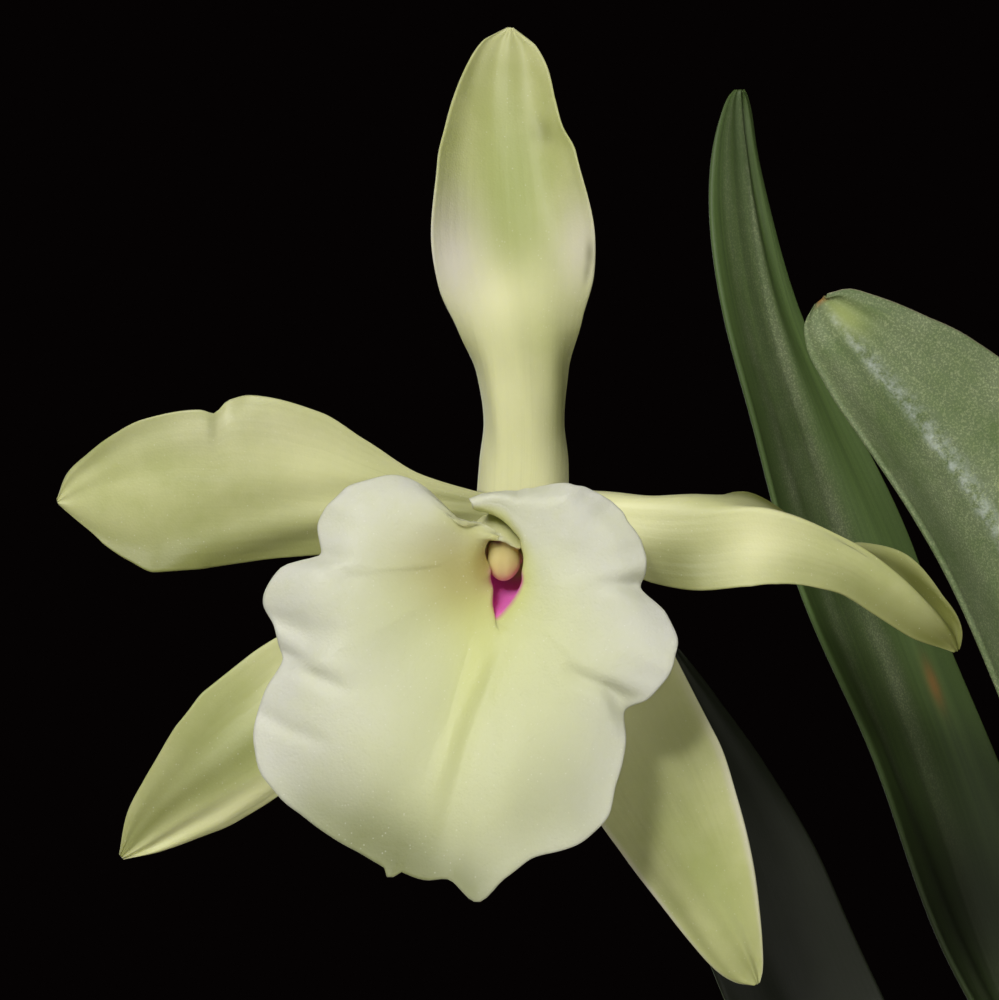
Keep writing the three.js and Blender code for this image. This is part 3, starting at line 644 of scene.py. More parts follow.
@dataclass(frozen=True)
class PetalWax(Finish):
    """Living petal skin: a thin waxy cuticle over pale green, translucent flesh.

    Satin light and faint veins along the blade, painted shade and painted highlights by marks, and painted
    glints on a few cells.
    """

    foot: str = "#eeedbd"
    belly: str = "#c9cc90"
    tip: str = "#c0c585"
    vein: str = "#a5ab68"
    green: str = "#a5b062"
    # pale: partly the tissue's own paler tone, partly painted highlight on lit bulges and sides and painted
    # light over a cast shadow
    pale: str = "#f2f2be"
    bloom: str = "#e6e1d0"
    # painted shade: olive where a blade turns from the light, lies in a cast shadow or darkens towards its
    # tip
    shade: str = "#7c8040"
    stain: str = "#5c5a30"
    roughness: float = 0.46
    vein_spacing: float = 0.8
    petal_width: float = 19.0
    cell: float = 0.3

    def shader(self, tree: Tree, body: Socket) -> Node:
        """Petal colour along the blade, with clouds, veins, marks (painted shade and highlights among them)
        and painted glints.
        """
        blade = add(tree, "UVMap", uv_map="blade")
        along = add(tree, "SeparateXYZ", blade).outputs["Y"]
        stops = [(0, self.foot), (0.34, self.belly), (0.75, self.tip), (1, self.belly)]
        base = add(tree, "ValToRGB", along, stops=stops)
        clouds = fractal(tree, body, 8, 5, 0.6)
        cloudy = ranged(tree, clouds, 0.42, 0.72, 0.35)
        colour = mix(tree, cloudy, base, self.foot)
        lanes = add(tree, "Mapping", blade, scale=(self.petal_width / self.vein_spacing, 1.2, 1.0))
        lines = add(tree, "TexNoise", lanes, scale=1.0, detail=4.0, roughness=0.7)
        fade = ranged(tree, along, 0.97, 0.7)
        veins = times(tree, lines, fade)
        veiny = ranged(tree, veins, 0.5, 0.75, 0.22)
        colour = mix(tree, veiny, colour, self.vein)
        colour = self.tint(tree, colour, "green", "pale", "bloom", "shade", "stain")
        cells = add(tree, "TexVoronoi", body, scale=1 / (self.cell * MM))
        # painted glints on a few cells
        colour = self.glints(tree, cells, colour, "#f4f4e6", 0.9, 0.3)
        skin = bump(tree, cells, 0.25, 0.05)
        skin = bump(tree, veins, 0.25, 0.1, skin)
        return flesh(tree, colour, skin, self.roughness, 1.42, 0.3, (1.0, 1.0, 0.5), 0.9)


@dataclass(frozen=True)
class LipTissue(Finish):
    """Living lip: thicker, softer and whiter than the petals, with a crystalline bloom.

    Cream white at the margin, yellow-green towards the throat, and a purple patch deep inside.
    """

    limb: str = "#e0e1d6"
    flush: str = "#dbdfb4"
    throat: str = "#d9de98"
    # funnel: the throat's own olive, deepened by painted shade on the funnel's left wall and deep in the tube
    funnel: str = "#b9ae66"
    # painted shade where the lip turns away from the light, and the painted shadow on the tube's roof
    shade: str = "#7f8452"
    purple: str = "#f47acf"
    purple_edge: str = "#d98fa8"
    roughness: float = 0.5
    cell: float = 0.35

    def shader(self, tree: Tree, body: Socket) -> Node:
        """Cream limb that turns green and purple by marks, with painted shade and painted glints, soft and
        crystalline.
        """
        clouds = fractal(tree, body, 5, 6, 0.62)
        cloudy = ranged(tree, clouds, 0.4, 0.72, 0.45)
        colour = mix(tree, cloudy, self.limb, self.flush)
        colour = self.tint(tree, colour, "flush", "throat", "funnel", "shade", "purple_edge", "purple")
        cells = add(tree, "TexVoronoi", body, scale=1 / (self.cell * MM))
        # painted glints on a few cells
        colour = self.glints(tree, cells, colour, "#fbfbf2", 0.88, 0.35)
        skin = bump(tree, cells, 0.3, 0.07)
        pores = fractal(tree, body, 1.6, 5, 0.6)
        skin = bump(tree, pores, 0.35, 0.3, skin)
        return flesh(tree, colour, skin, self.roughness, 1.4, 0.4, (1.0, 1.0, 0.75), 1.2)


@dataclass(frozen=True)
class GlaucousLeaf(Finish):
    """Thick orchid leaf with a rubbed waxy bloom over deep green.

    Fine parallel veins, mealy specks, a pale streak of wax along the midrib, a thin horny edge, and painted
    shade on leaves that lie in shade.
    """

    green: str = "#5f783d"
    deep: str = "#40562b"
    # dark: painted shade, nearly black, for leaves that lie in shade behind the flower
    dark: str = "#191e0e"
    wax: str = "#7d8868"
    speck: str = "#bcc794"
    streak: str = "#c9d2cd"
    edge: str = "#a39483"
    fresh: str = "#a9b56c"
    scorch: str = "#9a6a34"
    roughness: float = 0.58
    leaf_width: float = 28.0
    vein_spacing: float = 1.1
    speck_size: float = 0.25

    def shader(self, tree: Tree, body: Socket) -> Node:
        """Green with veins, wax, specks, streak, edge, scorch and painted shade."""
        blade = add(tree, "UVMap", uv_map="blade")
        lanes = add(tree, "Mapping", blade, scale=(self.leaf_width / self.vein_spacing, 1.6, 1.0))
        veins = add(tree, "TexNoise", lanes, scale=1.0, detail=3.0, roughness=0.6)
        veiny = ranged(tree, veins, 0.35, 0.7, 0.6)
        colour = mix(tree, veiny, self.green, self.deep)
        patches = fractal(tree, body, 9, 6, 0.7)
        patchy = ranged(tree, patches, 0.2, 0.65)
        bloom = painted(tree, "bloom")
        waxy = times(tree, patchy, bloom)
        colour = mix(tree, waxy, colour, self.wax)
        meal = fractal(tree, body, self.speck_size, 3, 0.7)
        grains = ranged(tree, meal, 0.5, 0.62, 0.75)
        mealy = times(tree, grains, waxy)
        colour = mix(tree, mealy, colour, self.speck)
        flakes = fractal(tree, body, 1.8, 8, 0.75)
        flaky = ranged(tree, flakes, 0.42, 0.64, 0.9)
        rib = painted(tree, "rib_wax")
        streaky = times(tree, flaky, rib)
        colour = mix(tree, streaky, colour, self.streak)
        # the dark tone is painted shade
        colour = self.tint(tree, colour, "fresh", "dark", "edge", "scorch")
        skin = bump(tree, flakes, 0.3, 0.12)
        skin = bump(tree, veins, 0.2, 0.1, skin)
        rough = add(tree, "MapRange", waxy, to_min=self.roughness - 0.04, to_max=self.roughness + 0.16)
        return flesh(tree, colour, skin, rough, 1.45, 0.06, (0.5, 1.0, 0.2), 0.8)


@dataclass(frozen=True)
class Terracotta(Finish):
    """Unglazed fired clay, thrown and matt, with salts that have dried on its skin."""

    clay: str = "#b5694a"
    pale: str = "#c98a68"
    damp: str = "#8a4a33"
    salts: str = "#d8c7b4"
    roughness: float = 0.9
    grit: float = 0.7
    blotch: float = 14.0

    def shader(self, tree: Tree, body: Socket) -> Node:
        """Fired clay with blotches, salts and grit."""
        blotches = fractal(tree, body, self.blotch, 6, 0.6)
        stops = [(0.3, self.damp), (0.52, self.clay), (0.78, self.pale), (0, self.damp), (1, self.pale)]
        base = add(tree, "ValToRGB", blotches, stops=stops)
        crust = fractal(tree, body, 5, 9, 0.7)
        crusty = ranged(tree, crust, 0.5, 0.7, 0.5)
        mark = painted(tree, "salts")
        salty = times(tree, crusty, mark)
        colour = mix(tree, salty, base, self.salts)
        grit = fractal(tree, body, self.grit, 4, 0.7)
        skin = bump(tree, grit, 0.5, 0.25)
        bands = add(tree, "Mapping", body, scale=(0.1, 0.1, 1.0))
        turning = fractal(tree, bands, 1.6, 3)
        skin = bump(tree, turning, 0.4, 0.3, skin)
        return add(tree, "BsdfPrincipled", colour, normal=skin, roughness=self.roughness, ior=1.5)


@dataclass(frozen=True)
class FirBark(Finish):
    """Chipped fir bark: corky red-brown layers with dark and pale bands, dry and rough."""

    heart: str = "#6a4329"
    dark: str = "#2c1a10"
    cork: str = "#94694a"
    dust: str = "#a58a6e"
    roughness: float = 0.88
    layer: float = 1.1

    def shader(self, tree: Tree, body: Socket) -> Node:
        """Layered bark colour, with one tone for each chip."""
        warp = fractal(tree, body, 6, 4, distortion=1.2)
        stops = [(0, self.dark), (0.3, self.dark), (0.48, self.heart), (0.62, self.cork), (1, self.dust)]
        base = add(tree, "ValToRGB", warp, stops=stops)
        layers = fractal(tree, body, self.layer, 5, 0.7)
        grainy = ranged(tree, layers, 0.35, 0.7, 0.65)
        colour = mix(tree, grainy, base, self.dark)
        colour = self.tint(tree, colour, "cork")
        skin = bump(tree, layers, 0.7, 0.5)
        return add(tree, "BsdfPrincipled", colour, normal=skin, roughness=self.roughness, ior=1.45)


@dataclass(frozen=True)
class StemSkin(Finish):
    """Skin of a living stem: satin green, with lengthwise fibres and paler, drier patches."""

    variant: str = "Stem"
    fresh: str = "#7c8f4f"
    old: str = "#9a9a5e"
    dry: str = "#b9ad7e"
    roughness: float = 0.55
    fibre: float = 0.9
    dryness: float = 0.4

    def shader(self, tree: Tree, body: Socket) -> Node:
        """Stem colour with fibres that run upwards."""
        lanes = add(tree, "Mapping", body, scale=(1.0, 1.0, 0.08))
        fibres = fractal(tree, lanes, self.fibre, 4, 0.6)
        colour = mix(tree, fibres, self.fresh, self.old)
        patches = fractal(tree, body, 8, 5)
        dry = ranged(tree, patches, 0.5, 0.7, self.dryness)
        colour = mix(tree, dry, colour, self.dry)
        skin = bump(tree, fibres, 0.5, 0.2)
        return flesh(tree, colour, skin, self.roughness, 1.45, 0.08, (0.6, 1.0, 0.3), 0.8)


@dataclass(frozen=True)
class RootVelamen(Finish):
    """Orchid root skin: spongy, chalky white velamen that is matt and faintly streaked."""

    chalk: str = "#d5d0bd"
    grey: str = "#a9a48e"
    green: str = "#8c9860"
    roughness: float = 0.85

    def shader(self, tree: Tree, body: Socket) -> Node:
        """Chalky white with grey and green patches."""
        patches = fractal(tree, body, 4, 6, 0.65)
        stops = [(0, self.green), (0.3, self.green), (0.45, self.grey), (0.6, self.chalk), (1, self.chalk)]
        base = add(tree, "ValToRGB", patches, stops=stops)
        sponge = fractal(tree, body, 0.5, 4)
        skin = bump(tree, sponge, 0.5, 0.15)
        return add(tree, "BsdfPrincipled", base, normal=skin, roughness=self.roughness, ior=1.4)


@dataclass(frozen=True)
class PaperySheath(Finish):
    """Dry bract: thin, silvery-brown and papery, with close parallel nerves."""

    silver: str = "#b9ae8c"
    brown: str = "#85704a"
    green: str = "#8f9660"
    roughness: float = 0.62
    nerve: float = 0.7

    def shader(self, tree: Tree, body: Socket) -> Node:
        """Papery colour with nerves along the bract."""
        lanes = add(tree, "Mapping", body, scale=(1.0, 1.0, 0.06))
        nerves = fractal(tree, lanes, self.nerve, 3)
        patches = fractal(tree, body, 7, 6, 0.65)
        stops = [(0, self.green), (0.32, self.green), (0.5, self.silver), (1, self.brown)]
        base = add(tree, "ValToRGB", patches, stops=stops)
        nervy = ranged(tree, nerves, 0.45, 0.65, 0.6)
        colour = mix(tree, nervy, base, self.brown)
        skin = bump(tree, nerves, 0.6, 0.2)
        return flesh(tree, colour, skin, self.roughness, 1.45, 0.15, (1.0, 0.8, 0.5), 0.5)


@dataclass(frozen=True)
class FleshyWax(Finish):
    """Fleshy heart of the flower: smooth, dense and waxy, with a soft moist light."""

    variant: str = "Column"
    body: str = "#d3d597"
    warm: str = "#c9c47c"
    stain: str = "#7c2c4a"
    roughness: float = 0.38

    def shader(self, tree: Tree, body: Socket) -> Node:
        """Waxy flesh with a purple stain by its mark."""
        clouds = fractal(tree, body, 2, 4)
        colour = mix(tree, clouds, self.body, self.warm)
        colour = self.tint(tree, colour, "stain")
        grain = fractal(tree, body, 0.3, 2)
        skin = bump(tree, grain, 0.2, 0.06)
        return flesh(tree, colour, skin, self.roughness, 1.42, 0.3, (1.0, 0.9, 0.4), 1.0)


@dataclass(frozen=True)
class StudioPaint(Finish):
    """Matt pale studio floor paint, rolled on."""

    pale: str = "#d9d7d1"
    worn: str = "#cfccc5"

    def shader(self, tree: Tree, body: Socket) -> Node:
        """Pale paint with a faint mottle."""
        mottle = fractal(tree, body, 30, 4)
        colour = mix(tree, mottle, self.pale, self.worn)
        return add(tree, "BsdfPrincipled", colour, roughness=0.7, ior=1.5)


# Blades: sepals, petals, leaves and the flower's sheath


@dataclass
class Patch:
    """Soft-edged area on a blade: place along it, signed share of its half width, and reaches."""

    mark: str
    along: float
    share: float
    length: float
    width: float
    strength: float = 1.0

    def at(self, along: Array, share: Array) -> Array:
        """Strength of the patch at each point."""
        far = ((along - self.along) / self.length) ** 2 + ((share - self.share) / self.width) ** 2
        return self.strength * np.exp(-far)


def even(rows: Rows) -> Rows:
    """Blade stations without keel or roll, from place, left width, right width and curl."""
    return [(place, left, right, 0, 0, curl, curl, 0) for place, left, right, curl in rows]


def areas(rows: list[tuple]) -> list[Patch]:
    """A patch from the values of each row."""
    return [Patch(*row) for row in rows]


@dataclass
class Blade:
    """A thin blade along a midrib.

    Stations are [place along the midrib, left width, right width, left keel, right keel, left
    curl, right curl, roll]; left and right are as seen from the upper face with the tip upwards.
    """

    name: str
    path: list
    stations: Rows
    middle: float
    margin: float
    wave: float = 0.0
    origin: Array = field(default_factory=lambda: np.zeros(3))
    patches: list[Patch] = field(default_factory=list)
    dents: list[Patch] = field(default_factory=list)
    veins: int = 17
    vein_height: float = 0.008
    swell: Swell | None = None
    rows: int = 110
    columns: int = 40
    margin_waves: float = 3.0
    fold: float = 0.4

    TIP_CROWDING = 1.25
    EDGE_ROUNDING = 0.45

    def grid(self) -> Pair:
        """Places along the midrib, and signed shares of the half width."""
        along = 1 - (1 - np.linspace(0, 1, self.rows + 1)) ** self.TIP_CROWDING
        even = np.linspace(-1, 1, 2 * self.columns + 1)
        share = 0.5 * even + 0.5 * np.sin(np.pi / 2 * even)
        return along, share

    def surface(self) -> tuple[Array, Array, Array, Array]:
        """Middle surface, half-width in millimetres at each point, and its places and shares."""
        along, share = self.grid()
        value = [station(self.stations, k, along)[:, None] for k in range(1, 8)]
        centre, tangent = Path(self.path).at(along)
        side = unit(np.cross(tangent, VIEWER))
        roll = np.radians(value[6])
        side = side * np.cos(roll) + np.cross(tangent, side) * np.sin(roll)
        upper = np.cross(side, tangent)
        right = share[None, :] > 0
        width, keel, curl = (np.where(right, value[k + 1], value[k]) for k in (0, 2, 4))
        size = np.abs(share)[None, :]
        out, _ = half_section(width, size, keel, curl)
        soft = (np.hypot(size, self.fold) - self.fold) / (math.hypot(1, self.fold) - self.fold)
        _, lift = half_section(width, soft, keel, curl)
        phase = self.margin_waves * along[:, None] + np.where(right, 0.3, 0)
        lift = lift + self.wave * size**2 * np.sin(2 * np.pi * phase)
        out = np.where(right, out, -out)
        points = centre[:, None, :] + side[:, None, :] * out[..., None] + upper[:, None, :] * lift[..., None]
        grid_along, grid_share = np.broadcast_arrays(along[:, None], share[None, :])
        return points + self.origin, width, grid_along, grid_share

    def thickness(self, width: Array, along: Array, share: Array) -> Array:
        """Full thickness: thickest at the midrib, thin and rounded at the margin and the tip.

        Args:
            width: half width at each point.
            along: place along the midrib.
            share: signed share of the half width.

        Returns:
            Thickness in millimetres.
        """
        body = self.margin + (self.middle - self.margin) * (1 - np.abs(share) ** 1.6)
        inward = (1 - np.abs(share)) * width
        rounding = np.clip(inward / (self.EDGE_ROUNDING * self.margin + 0.05), 0, 1)
        body = body * np.maximum(np.sqrt(1 - (1 - rounding) ** 2), 0.15)
        return body * (0.35 + 0.65 * smooth(1.0, 0.93, along))

    def relief(self, along: Array, share: Array) -> Array:
        """Shift of the whole blade towards its upper face.

        Args:
            along: place along the midrib.
            share: signed share of the half width.

        Returns:
            Shift in millimetres.
        """
        total = sum((d.at(along, share) for d in self.dents), np.zeros_like(along))
        if self.swell:
            total = total + self.swell.at(share, along) * smooth(0.0, 0.15, along)
        return total

    def face_relief(self, along: Array, share: Array) -> Pair:
        """Veins on the upper and the under face."""
        lines = np.cos(np.pi * self.veins * share) * self.vein_height
        fade = smooth(1.0, 0.85, np.abs(share)) * smooth(0.0, 0.1, along) * smooth(0.85, 0.6, along)
        return lines * fade, lines * fade

    def marks(self, along: Array, share: Array) -> FaceMarks:
        """Named tints on the upper and the under face.

        Args:
            along: place along the midrib.
            share: signed share of the half width.

        Returns:
            Values from 0 to 1 by mark.
        """
        found = {}
        for patch in self.patches:
            value = patch.at(along, share)
            self.lay(found, patch.mark, value, value)
        return found

    @staticmethod
    def lay(found: FaceMarks, mark: str, upper: Array, under: Array) -> None:
        """Adds to a mark on the upper and the under face, up to 1."""
        before = found.get(mark, (0.0, 0.0))
        found[mark] = (np.clip(before[0] + upper, 0, 1), np.clip(before[1] + under, 0, 1))

    def build(self) -> Item:
        """The closed blade."""
        points, width, along, share = self.surface()
        half = self.thickness(width, along, share) / 2
        shift = self.relief(along, share)
        upper, under = self.face_relief(along, share)
        uv = np.stack([0.5 + 0.5 * share, along], axis=-1)
        return sheet_object(
            self.name, points, half + shift + upper, half - shift + under, uv, self.marks(along, share)
        )


@dataclass
class Tepal(Blade):
    """A sepal or a petal."""

    def dress(self, piece: Item) -> None:
        """Petal wax."""
        place_piece(piece, PetalWax(), Slot.TEPAL, self.name)


@dataclass
class Leaf(Blade):
    """A thick leaf: grooved along its midrib above, keeled below, with a horny edge."""

    groove: float = 0.55
    keel: float = 0.5
    rib_width: float = 0.055
    bloom: float = 0.5
    rib_wax: float = 0.3
    # strength of the painted shade laid over the whole leaf
    painted_shade_strength: float = 0.0
    tip_scorch: float = 0.0
    edge: float = 0.3
    veins: int = 27
    vein_height: float = 0.006
    rows: int = 130

    # painted shade on the under face, as a share of the upper face's
    UNDER_PAINTED_SHADE = 0.35

    def face_relief(self, along: Array, share: Array) -> Pair:
        """Veins, with the midrib's groove above and its keel below."""
        upper, under = super().face_relief(along, share)
        rib = np.exp(-((share / self.rib_width) ** 2)) * smooth(1.0, 0.9, along)
        keel = np.exp(-((share / (2 * self.rib_width)) ** 2))
        return upper - self.groove * rib, under + self.keel * keel

    def marks(self, along: Array, share: Array) -> FaceMarks:
        """Wax, edge, scorch and painted shade.

        Args:
            along: place along the midrib.
            share: signed share of the half width.

        Returns:
            Values from 0 to 1 by mark.
        """
        found = super().marks(along, share)
        all_over = np.ones_like(along)
        bloom = self.bloom * all_over
        self.lay(found, "bloom", bloom, bloom)
        reach = 0.05 + 0.06 * smooth(0.3, 0.95, along)
        ends = smooth(0.02, 0.4, along) * smooth(1.0, 0.97, along)
        rib = self.rib_wax * np.exp(-((share / reach) ** 2)) * ends
        self.lay(found, "rib_wax", rib, 0 * rib)
        edge = self.edge * smooth(0.98, 1.0, share)
        self.lay(found, "edge", edge, edge)
        # painted shade over the whole leaf, weaker on the under face
        dark = self.painted_shade_strength * all_over
        self.lay(found, "dark", dark, self.UNDER_PAINTED_SHADE * dark)
        tip = self.tip_scorch * smooth(0.995, 1.0, along) * smooth(0.9, 0.2, np.abs(share))
        self.lay(found, "scorch", tip, tip)
        return found

    def dress(self, piece: Item) -> None:
        """Glaucous leaf."""
        place_piece(piece, GlaucousLeaf(), Slot.LEAF, self.name)


def make_tepals() -> list[Tepal]:
    """The three sepals and two petals, with the stains and dents that single ones have, and their painted
    shade and highlights.
    """
    common = {"middle": 0.8, "margin": 0.32, "origin": RECEPTACLE}
    dorsal = Tepal(
        name="sepal_dorsal",
        path=[
            (0.1, 1.5, 2.5), (0.3, 0.7, 8), (0.2, -1.2, 15), (-0.2, -2.8, 22), (-1.1, -2.6, 33),
            (-1.8, -0.6, 44), (-1.9, 1.2, 51), (-1.3, 1.6, 57.3),
        ],
        stations=even([
            (0, 6.4, 6.4, -60), (0.07, 6.7, 6.7, -72), (0.14, 6.9, 6.9, -88), (0.25, 6.8, 6.8, -70),
            (0.37, 7.5, 7.5, -22), (0.46, 9.1, 9.1, 14), (0.57, 10.2, 10.2, 42), (0.7, 9.5, 9.5, 58),
            (0.77, 8.3, 7.7, 58), (0.82, 7.3, 6.9, 56), (0.91, 5.2, 5.5, 48), (0.965, 3.3, 3.4, 36),
            (0.985, 1.7, 1.7, 20), (1, 0.4, 0.4, 0),
        ]),
        # Painted shade on the neck's right side, towards the tip and in a spot on the left; the pale patches
        # at 0.2 and 0.43 are painted highlight on the lit neck and bulge, the one at the tip its own pale
        # point.
        patches=areas([
            ("bloom", 0.53, -0.8, 0.12, 0.42, 1.0), ("bloom", 0.52, 0.85, 0.1, 0.35, 0.75),
            ("pale", 0.43, -0.3, 0.07, 0.7, 0.7), ("pale", 0.2, -0.35, 0.2, 0.5, 0.8),
            ("green", 0.65, 0.05, 0.21, 0.55, 0.85), ("shade", 0.6, -0.62, 0.06, 0.3, 0.22),
            ("shade", 0.2, 0.72, 0.16, 0.3, 0.7), ("shade", 0.9, 0.0, 0.2, 1.4, 0.22),
            ("pale", 1.0, 0.0, 0.012, 0.9, 0.8), ("stain", 0.765, 0.6, 0.028, 0.16, 0.32),
            ("stain", 0.5, 0.93, 0.025, 0.05, 0.5), ("stain", 0.46, 0.9, 0.02, 0.04, 0.4),
        ]),
        dents=areas([("dent", 0.77, 0.6, 0.03, 0.16, -0.4), ("dent", 0.47, 0.9, 0.03, 0.08, -0.25)]),
        swell=Swell(21, 0.10), **common,
    )
    petal_left = Tepal(
        name="petal_left",
        path=[
            (-2.9, -0.3, 0.3), (-12, -1.6, 1.8), (-19.4, -2.6, 2.9), (-30.7, -3.2, 4.2), (-41.9, -2, 4.4),
            (-50, 0, 3.4), (-54, 1, 2.1),
        ],
        stations=[
            (0, 2.2, 2.2, 0, 0, 0, 0, 0), (0.18, 4.4, 3.6, -6, -4, -20, -20, 0),
            (0.32, 6.8, 6.6, -6, 4, -22, 0, 0), (0.42, 8, 9, -6, 6, -18, 6, 0),
            (0.56, 9.4, 10.2, -8, 10, -10, 0, 0), (0.61, 9.8, 9.6, -8, 10, -6, -14, 0),
            (0.636, 10, 7.9, -8, 8, -4, 4, 0), (0.665, 10.2, 8.3, -8, 7, 2, 8, 0),
            (0.78, 10.5, 7.4, -8, 4, 10, 8, 0), (0.85, 8.8, 5.9, -6, 4, 10, 6, 0),
            (0.91, 6.6, 4.2, -4, 2, 8, 4, 0), (0.96, 3.8, 2.6, 0, 0, 4, 4, 0), (1, 0.4, 0.4, 0, 0, 0, 0, 0),
        ],
        # Painted shade along the lower edge, at the foot beside the lip, down the midrib, at the notch and
        # towards the tip.
        patches=areas([
            ("shade", 0.65, -1.0, 0.5, 0.5, 0.85), ("pale", 0.4, 0.15, 0.12, 0.7, 0.5),
            ("bloom", 0.62, 0.75, 0.2, 0.4, 0.25), ("shade", 0.6, 0.0, 0.14, 0.3, 0.22),
            ("shade", 0.03, 0.0, 0.15, 1.5, 0.65), ("shade", 0.9, 0.9, 0.14, 0.4, 0.4),
            ("shade", 0.64, 0.85, 0.01, 0.22, 0.45),
        ]),
        swell=Swell(22, 0.16), **common,
    )
    petal_right = Tepal(
        name="petal_right",
        path=[
            (2.9, -0.3, 0.3), (9, -1.4, 0.9), (16, -2.6, 0.4), (20.7, -3.4, 0.6), (26.6, -3.8, 1.1),
            (31.6, -4, 0.1), (36.5, -4, -1.9), (40, -3.8, -3.8), (44, -3.2, -7), (47.2, -2.2, -10.4),
            (49.4, -1, -13.2), (50.5, 0, -15.2),
        ],
        stations=[
            (0, 2.2, 2.2, 0, 0, 0, 0, 0), (0.12, 4.4, 4.6, -16, 0, -100, -6, 0),
            (0.24, 6.6, 7.8, -20, 6, -136, -4, 0), (0.33, 7.8, 8.8, -38, 6, -122, 8, 0),
            (0.44, 8.4, 8.9, -88, 0, -66, 18, 0), (0.53, 8.6, 8, -105, -6, -74, 20, 0),
            (0.62, 8.2, 6.7, -115, -10, -88, 16, 0), (0.7, 7.6, 5.8, -108, -10, -60, 10, 0),
            (0.8, 6.8, 5.2, -104, -8, -22, 4, 0), (0.9, 4.6, 3.9, -96, -6, -14, 4, 0),
            (0.96, 2.4, 2.2, -60, -4, -6, 2, 0), (1, 0.4, 0.4, 0, 0, 0, 0, 0),
        ],
        # Painted shadow of the lip near the foot, painted shade on the folded flaps and towards the tip; the
        # pale patch at 0.46 is painted highlight on the bulge.
        patches=areas([
            ("shade", 0.275, 0.75, 0.08, 0.6, 0.8), ("pale", 0.17, 0.0, 0.12, 1.0, 0.9),
            ("pale", 0.46, 0.4, 0.1, 0.6, 1.0), ("shade", 0.46, -0.97, 0.1, 0.3, 1.0),
            ("shade", 0.85, -0.55, 0.2, 0.45, 1.0), ("shade", 0.8, 0.85, 0.25, 0.5, 0.7),
            ("shade", 0.97, 0.0, 0.1, 1.2, 0.8),
        ]),
        swell=Swell(23, 0.08), **common,
    )
    sepal_left = Tepal(
        name="sepal_left",
        path=[
            (-2, 1.6, -1.9), (-12, 0.9, -12.6), (-22, -0.3, -21.6), (-31.1, -1, -28.6),
            (-35.5, -0.8, -31.3), (-40.3, 0, -34.2), (-43.2, 0.6, -36.2), (-46.6, 1, -39.2),
        ],
        stations=[
            (0, 1.4, 2.4, 0, 0, 0, 0, 0), (0.2, 5.2, 7, -12, -6, -12, -6, 0),
            (0.4, 6.2, 9.5, -16, -8, -14, -4, 0), (0.55, 5.5, 10.7, -18, -8, -14, 0, 0),
            (0.67, 4.7, 10.5, -18, -8, -14, 6, 0), (0.76, 4.7, 8.9, -18, -6, -12, 8, 0),
            (0.86, 3.8, 5.8, -16, -4, -10, 6, 0), (0.93, 2.7, 3.5, -12, -2, -8, 4, 0),
            (1, 0.4, 0.4, 0, 0, 0, 0, 0),
        ],
        # The pale patches are painted light on the lit upper side and the lit lower strip; the shade ones are
        # painted shade at the tip and along the crease.
        patches=areas([
            ("pale", 0.42, 0.5, 0.16, 0.5, 0.7), ("shade", 0.93, 0.4, 0.2, 0.7, 0.7),
            ("green", 0.55, 0.2, 0.25, 0.6, 0.6), ("shade", 0.72, 0.18, 0.3, 0.16, 0.35),
            ("pale", 0.75, -0.6, 0.35, 0.35, 0.7),
        ]),
        swell=Swell(24, 0.12), **common,
    )
    sepal_right = Tepal(
        name="sepal_right",
        path=[
            (1.7, 1.6, -2.3), (10, 0.5, -19), (18.3, -0.6, -35), (21.3, -0.5, -41), (24, -0.1, -47),
            (27.3, 0.6, -54),
        ],
        stations=[
            (0, 2.4, 1.4, 0, 0, 0, 0, 0), (0.18, 6.4, 6, 0, 0, -8, -8, 0),
            (0.35, 8.4, 8.0, 6, -4, 4, -10, 0), (0.52, 8.4, 8.7, 8, -8, 8, -14, 0),
            (0.65, 7.2, 7.8, 8, -10, 10, -14, 0), (0.77, 5.6, 6.4, 8, -10, 8, -10, 0),
            (0.87, 3.9, 4.9, 6, -8, 6, -6, 0), (0.94, 2.4, 3.6, 4, -4, 4, -2, 0),
            (0.98, 1.3, 2.1, 2, -2, 2, 0, 0), (1, 0.4, 0.4, 0, 0, 0, 0, 0),
        ],
        # The first pale patch is painted light over the lip's cast shadow; the shade ones are painted shade
        # at the tip and in a band beside it.
        patches=areas([
            ("pale", 0.32, 0.1, 0.2, 0.9, 0.85), ("green", 0.45, -0.2, 0.12, 0.7, 0.4),
            ("shade", 0.96, 0.0, 0.07, 1.0, 0.35), ("green", 0.75, 0.0, 0.2, 0.6, 0.5),
            ("shade", 0.86, 0.76, 0.16, 0.16, 0.5), ("bloom", 0.7, -0.97, 0.35, 0.08, 0.6),
            ("bloom", 0.7, 0.98, 0.25, 0.05, 0.8),
        ]),
        swell=Swell(25, 0.12), **common,
    )
    return [dorsal, petal_left, petal_right, sepal_left, sepal_right]


